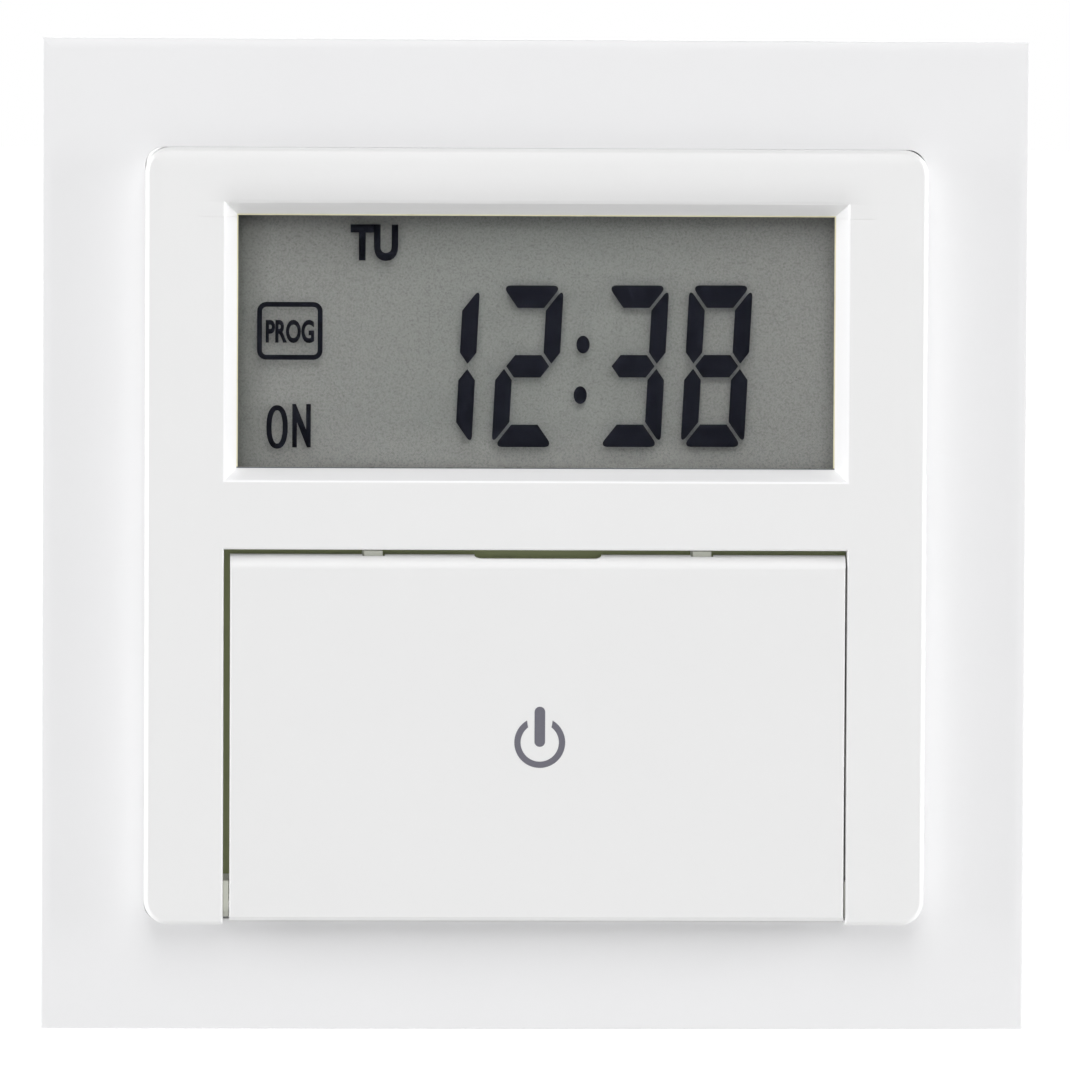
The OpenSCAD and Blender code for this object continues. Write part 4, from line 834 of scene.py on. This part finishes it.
cover = block("cover_moulding", (-cover_half_w, cover_front, -cover_half_h),
              (cover_half_w, cover_back, cover_half_h))
enter("EDIT")
round_edges(cover, cover_corner, 12, lambda middle: abs(middle.x) > cover_half_w - 0.01
            and abs(middle.z) > cover_half_h - 0.01)
round_edges(cover, cover_roll, 10, lambda middle: middle.y < cover_front + 0.01)
enter("OBJECT")
inner_w, inner_h, face_back = cover_half_w - wall_t, cover_half_h - wall_t, cover_front + face_t
combine(cover, block("hollow", (-inner_w, face_back, -inner_h), (inner_w, cover_back + 1, inner_h)),
        "DIFFERENCE")
# The window's bevel turns over into the face in a soft dip, and the opening has a rounded lip
dip = [(window_bevel - 0.04 + window_roll * step / 6, 0.08 * (1 - step / 6) ** 2) for step in range(7)]
combine(cover, flared_cutter("window", (0, window_z), window_half_w, window_half_h,
                             [(0, window_bevel_depth)] + dip), "DIFFERENCE")
opening_bottom = -cover_half_h - 3
lip = [(opening_roll * (1 - math.cos(turn)), opening_roll * (1 - math.sin(turn)))
       for turn in [math.radians(angle) for angle in (0, 22.5, 45, 67.5, 90)]]
combine(cover, flared_cutter("opening", (0, (opening_top + opening_bottom) / 2), opening_half,
                             (opening_top - opening_bottom) / 2, lip), "DIFFERENCE")
combine(cover, block("leg_gap", (-opening_half, cover_front - 1, foot_z),
                     (opening_half, leg_cut, -inner_h + 1)), "DIFFERENCE")
combine(cover, block("foot_gap", (-opening_half, cover_front - 1, -cover_half_h - 1),
                     (opening_half, foot_cut, foot_z + 0.1)), "DIFFERENCE")
# Four screw bosses, two hinge bosses with pockets for the yoke's ears, and the pins' holes
boss_r, boss_bore_r, boss_back, boss_x, boss_z = 1.9, 0.95, -5.4, 28.2, 27.5
bosses = [(x, z) for z in (boss_z, -boss_z) for x in (boss_x, -boss_x)]
hinge_bosses, ear_pockets = ((-28.13, -25.73), (26.13, 28.53)), ((-25.73, -24.2), (24.2, 26.13))
axle_y, axle_z, bore_r, pin_holes = -11.6, -29.84, 0.61, ((-27.73, -24.8), (24.8, 28.13))
for place in bosses:
    combine(cover, rod("boss", place, boss_r, face_back - 0.05, boss_back, "Y"), "UNION")
for low_x, high_x in hinge_bosses:
    combine(cover, block("hinge_boss", (low_x, face_back - 0.05, -inner_h - 0.05),
                         (high_x, axle_y + 1.3, axle_z + 1.4)), "UNION")
for place in bosses:
    combine(cover, rod("screw_hole", place, boss_bore_r, face_back + 0.6, cover_back, "Y"), "DIFFERENCE")
for low_x, high_x in ear_pockets:
    combine(cover, block("ear_pocket", (low_x, axle_y - 1.1, axle_z - 1.2),
                         (high_x, axle_y + 2.1, axle_z + 2.5)), "DIFFERENCE")
for low_x, high_x in pin_holes:
    combine(cover, rod("pin_hole", (axle_y, axle_z), bore_r, low_x, high_x, "X"), "DIFFERENCE")
close_shape(cover, 30)
# The cover's last setting paints the window's bevel, but for its upper side, a lighter white: painted
# light
cover_white = handled_white("glossy white cover ABS", "#eeeeee", "#ececec", 0.34,
                            (cover_half_w, cover_half_h, 1.6), 0.05, (1.6, 0.28),
                            (window_half_w + window_bevel, window_z + window_half_h + window_bevel,
                             window_z + window_half_h + 3.9, 0.74),
                            (window_half_w, window_half_h, window_z, window_bevel + 0.1))
stand_in(cover, "front_cover", cover_white)


# Bead round the pane
# A hair of amber adhesive that shows as a pale gold line along the window's foot, and as a dark one,
# painted shade, where the lower side lies in its own shade.

def adhesive(name, foot):
    """Amber adhesive: pale gold and glossy, and painted dark along the lower side of the window as shade.
    """
    material, add = start_material(name)
    axes = add("SeparateXYZ")
    low = add("Math", {0: axes.outputs["Z"], 1: foot * MM}, operation="LESS_THAN")
    streak = add("TexNoise", {"Scale": 1 / (1.5 * MM), "Detail": 3.0})
    gold = add("Mix", {0: streak, 6: "#d9d2ae", 7: "#f0ebcb"}, data_type="RGBA")
    # Painted shade: the bead is painted dark grey along the window's lower side
    colour = add("Mix", {0: low, 6: gold, 7: "#55585c"}, data_type="RGBA")
    return surface(material, colour, (streak, 0.2, 0.4), streak, 0.01, 0.4, 1.48)


bead_w, bead_t, tucked = 0.075, 0.12, 0.02
bead = plate("pane_bead", (0, window_z), window_half_w + tucked, window_half_h + tucked,
             face_back - bead_t)
cut_to_rim((bead_w + tucked) * MM)
bpy.ops.mesh.select_all(action="SELECT")
draw_out(bead_t - 0.01)
face_outwards()
bead.data.materials.append(adhesive("amber adhesive", window_z - window_half_h + bead_w))
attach(bead, body_of["window_pane"])


# Yoke and hinge pins
# The yoke carries the flap on two steel pins. Its ears, bar and two latch lugs show as light
# tabs in the gaps round the flap.

def olive_and_white(name, lug, ear_head):
    """Olive ABS with white hinge ears and latch lugs, told apart by place. The arms are olive, so they
    show dark in the gaps beside the flap. lug is the place of a lug: its middle in X, its back in Y and
    its foot in Z."""
    lug_x, lug_y, lug_z = (value * MM for value in lug)
    material, add = start_material(name)
    axes = add("SeparateXYZ")
    across, deep, up = axes.outputs["X"], axes.outputs["Y"], axes.outputs["Z"]
    away = add("Math", {0: across}, operation="ABSOLUTE")
    beside = add("Math", {0: away, 1: lug_x, 2: 1.0 * MM}, operation="COMPARE")
    above = add("Math", {0: up, 1: lug_z}, operation="GREATER_THAN")
    before = add("Math", {0: deep, 1: lug_y}, operation="LESS_THAN")
    corner = add("Math", {0: beside, 1: above}, operation="MULTIPLY")
    shown_lug = add("Math", {0: corner, 1: before}, operation="MULTIPLY")
    ear = add("Math", {0: up, 1: ear_head * MM}, operation="LESS_THAN")
    pale = add("Math", {0: shown_lug, 1: ear}, operation="MAXIMUM")
    cloud = add("TexNoise", {"Scale": 1 / (5 * MM), "Detail": 3.0})
    olive = add("Mix", {0: cloud, 6: "#868e5f", 7: "#909868"}, data_type="RGBA")
    white = add("Mix", {0: cloud, 6: "#c8cabe", 7: "#d1d3c7"}, data_type="RGBA")
    colour = add("Mix", {0: pale, 6: olive, 7: white}, data_type="RGBA")
    grain = add("TexNoise", {"Scale": 1 / (0.3 * MM), "Detail": 2.0})
    return surface(material, colour, (cloud, 0.38, 0.5), grain, 0.004, ior=1.53)


lug_x, lug_y, lug_z, lug_shift, ear_head = 13.3, -11.25, -3.2, 0.2, -27.4
yoke_plastic = olive_and_white("olive and white yoke ABS", (lug_x, lug_y, lug_z), ear_head)
yoke = open_copy("flap_carrier", "yoke_moulding")
mesh = bmesh.from_edit_mesh(yoke.data)
for vertex in mesh.verts:
    spot = vertex.co / MM
    if abs(abs(spot.x) - lug_x) < 1 and spot.z > lug_z and spot.y < lug_y:
        vertex.co.x += lug_shift * MM
bmesh.update_edit_mesh(yoke.data)
round_edges(yoke, 0.06, 2)
stand_in(close_shape(yoke), "flap_carrier", yoke_plastic)
pin_steel = rolled_metal("ground pin steel", "#c9cbcd", "#a3a6a9", 0.2, 0.08, 0, 2.0)
eased("flap_hinge_pins", "hinge_pin_pair", pin_steel)


# Flap
# The wide white flap covers the keys and is itself the on and off button. The symbol is printed on its
# middle, a notch is cut in its top edge, and its rim at the sides is worn a little smoother.

flap_low, flap_high = (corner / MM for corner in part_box("flap"))
flap_front, flap_top_z, flap_foot = flap_low.y, flap_high.z, flap_low.z
flap_middle = (flap_low.x + flap_high.x) / 2
flap_white = handled_white("glossy white flap ABS", "#ededed", "#ebebeb", 0.33,
                           (flap_high.x, -flap_foot, 0.8), 0.04, (0.5, 0.004))
wider_left, wider_right, taller = 0.09, 0.07, 0.06
flap_left, flap_right, flap_top = (flap_low.x - wider_left, flap_high.x + wider_right,
                                   flap_top_z + taller)
flap_back, flap_end, edge_roll = -11.5, 0.18, 1.25
notch_half, notch_round, notch_depth = 5.14, 0.6, 0.25
room_half, room_front, room_foot = 0.9, -12.25, -3.27
barrel_r, barrel_w = 1.1, 3.0
leaf = block("flap_moulding", (flap_left, flap_front, flap_foot), (flap_right, flap_back, flap_top))
enter("EDIT")
round_edges(leaf, edge_roll, 10, lambda middle: middle.y < flap_front + 0.01
            and middle.z > flap_top - 0.01)
round_edges(leaf, 0.3, 1, lambda middle: middle.y < flap_front + 0.01 and middle.z < flap_foot + 0.01)
round_edges(leaf, flap_end, 3, lambda middle: middle.y < flap_front + 0.01
            and not flap_left + 0.01 < middle.x < flap_right - 0.01)
enter("OBJECT")
for low_x, high_x in ((flap_left, flap_left + barrel_w), (flap_right - barrel_w, flap_right)):
    combine(leaf, rod("barrel", (axle_y, axle_z), barrel_r, low_x, high_x, "X"), "UNION")
for low_x, high_x in ((flap_left - 1, flap_left + barrel_w + 0.1),
                      (flap_right - barrel_w - 0.1, flap_right + 1)):
    combine(leaf, rod("bore", (axle_y, axle_z), bore_r, low_x, high_x, "X"), "DIFFERENCE")
for side in (-1, 1):
    lug_middle = side * lug_x + lug_shift
    combine(leaf, block("lug_room", (lug_middle - room_half, room_front, room_foot),
                        (lug_middle + room_half, flap_back + 1, flap_top + 1)), "DIFFERENCE")
end = [(notch_half - notch_round * (1 - math.sin(turn)), -notch_depth * math.cos(turn))
       for turn in [math.radians(angle) for angle in range(0, 91, 15)]] + [(notch_half, 1)]
notch = flat_piece("notch", (flap_front - 1) * MM,
                   [((flap_middle + x) * MM, (flap_top_z + z) * MM)
                    for x, z in end + [(-x, z) for x, z in reversed(end)]])
bpy.ops.mesh.select_all(action="SELECT")
draw_out(4)
face_outwards()
combine(leaf, notch, "DIFFERENCE")
stand_in(close_shape(leaf, 30), "flap", flap_white)

# The symbol: a ring open at the top with a bar in the gap, pad-printed in grey ink
ring_outer, ring_inner, ring_gap = 2.06, 1.55, 1.0
symbol_x, symbol_z, bar_half, bar_top, bar_foot = 0.375, -16.56, 0.43, 2.9, -0.35
print_t = 0.012
ring = flat_piece("ring", flap_front * MM,
                  oval(symbol_x * MM, symbol_z * MM, ring_outer * MM, ring_outer * MM, 96))
cut_to_rim((ring_outer - ring_inner) * MM)
for side in (-1, 1):
    bpy.ops.mesh.select_all(action="SELECT")
    bpy.ops.mesh.bisect(plane_co=((symbol_x + side * ring_gap) * MM, 0, 0), plane_no=(1, 0, 0))
mesh = bmesh.from_edit_mesh(ring.data)
bpy.ops.mesh.select_mode(type="FACE")
bpy.ops.mesh.select_all(action="DESELECT")
for face in mesh.faces:
    centre = face.calc_center_median() / MM
    face.select_set(abs(centre.x - symbol_x) < ring_gap and centre.z > symbol_z)
bmesh.update_edit_mesh(ring.data)
bpy.ops.mesh.delete(type="FACE")
enter("OBJECT")
stroke_ends = ((-1, bar_foot), (1, bar_foot), (1, bar_top), (-1, bar_top))
stroke = flat_piece("stroke", flap_front * MM, [((symbol_x + i * bar_half) * MM, (symbol_z + j) * MM)
                                                for i, j in stroke_ends])
round_corners(stroke, (0, 1, 2, 3), bar_half * 0.98 * MM, 8)
enter("OBJECT")
symbol = join([ring, stroke], "power_symbol_print")
enter("EDIT")
face_outwards()
change(symbol, "SOLIDIFY", thickness=2 * print_t * MM, offset=0)
# Grey ink: even and satin, a little thinner where the pad lifted
symbol.data.materials.append(patchy_coat("grey pad-printing ink", "#5f5e69", "#696872", 0.5, 4.0,
                                         (0.36, 0.5), 0.002, 0.3, 1.48))
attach(symbol, body_of["flap"])


# Floor, light and surroundings
# A pale floor well below the switch, two upright soft boxes at the sides, a wider one above and
# one behind. What the camera sees past the switch is plain white.

def straight_rays(add):
    """Picks out the rays that come from the camera, a mirror or a clear sheet."""
    rays = add("LightPath").outputs
    seen = add("Math", {0: rays["Is Camera Ray"], 1: rays["Is Glossy Ray"]}, operation="MAXIMUM")
    return add("Math", {0: seen, 1: rays["Is Transmission Ray"]}, operation="MAXIMUM")


floor_z, floor_side, floor_glow = -0.13, 30, 0.8
floor = made_by(bpy.ops.mesh.primitive_plane_add, "floor", size=floor_side)
floor.location.z = floor_z
floor_material, add = start_material("pale studio floor")
paper = add("TexNoise", {"Scale": 40.0, "Detail": 2.0})
paper_colour = add("Mix", {0: paper, 6: "#e6e6e6", 7: "#eaeaea"}, data_type="RGBA")
matt = add("BsdfDiffuse", {"Color": paper_colour})
faint = add("Math", {0: straight_rays(add), 1: floor_glow}, operation="MULTIPLY")
glow = add("Emission", {"Color": (1, 1, 1, 1), "Strength": faint})
both = add("AddShader", {0: matt, 1: glow})
add("OutputMaterial", {"Surface": both})
floor.data.materials.append(floor_material)

ambient = 0.4
world = bpy.data.worlds.new("white studio")
bpy.context.scene.world = world
world.use_nodes = True
world.node_tree.nodes.clear()
add = functools.partial(add_node, world.node_tree)
dim = add("Background", {"Color": (1, 1, 1, 1), "Strength": ambient})
white = add("Background", {"Color": (1, 1, 1, 1), "Strength": 1.0})
sky = add("MixShader", {0: straight_rays(add), 1: dim, 2: white})
add("OutputWorld", {"Surface": sky})


def soft_box(name, azimuth, elevation, distance, width, height, watts):
    """A rectangular soft lamp that faces the switch. Azimuth 0 is in front and 90 on the right."""
    a, e = math.radians(azimuth), math.radians(elevation)
    away = Vector((math.sin(a) * math.cos(e), -math.cos(a) * math.cos(e), math.sin(e)))
    lamp = bpy.data.lights.new(name, "AREA")
    lamp.shape = "RECTANGLE"
    lamp.size, lamp.size_y, lamp.energy = width, height, watts
    box = bpy.data.objects.new(name, lamp)
    bpy.context.scene.collection.objects.link(box)
    box.location = away * distance
    box.rotation_euler = away.to_track_quat("Z", "Y").to_euler()
    box.visible_camera = False
    return box


soft_box("left soft box", -84, 4, 1.0, 0.35, 0.5, 6.7)
soft_box("right soft box", 84, 4, 1.0, 0.35, 0.5, 7.2)
soft_box("upper soft box", 0, 43, 1.0, 0.6, 0.9, 3.98)
soft_box("rear soft box", 170, 24, 1.2, 0.8, 0.8, 5.5)


# Camera
# A long lens about seventy centimetres away, a little to the left of the switch and above it, and
# turned by a quarter of a degree. The picture is square.

photo_side = 1070
frame_width_in_photo = 986.5
camera_distance, camera_left, camera_above, camera_roll = 0.72, 2.1, 3.1, 0.28
aim = Vector((0.02, frame_front, 0.08)) * MM
camera = bpy.data.objects.new("camera", bpy.data.cameras.new("camera"))
bpy.context.scene.collection.objects.link(camera)
bpy.context.scene.camera = camera
side, rise = math.radians(-camera_left), math.radians(camera_above)
back = Vector((math.sin(side) * math.cos(rise), -math.cos(side) * math.cos(rise), math.sin(rise)))
camera.location = aim + back * camera_distance
turn = back.to_track_quat("Z", "Y").to_matrix() @ Matrix.Rotation(math.radians(camera_roll), 3, "Z")
camera.rotation_euler = turn.to_euler()
seen_width = 2 * frame_half_w * MM * photo_side / frame_width_in_photo
camera.data.sensor_width = 36.0
camera.data.lens = camera.data.sensor_width * camera_distance / seen_width
camera.data.dof.use_dof = False
camera.data.clip_end = 100.0
bpy.context.scene.view_settings.view_transform = "Standard"
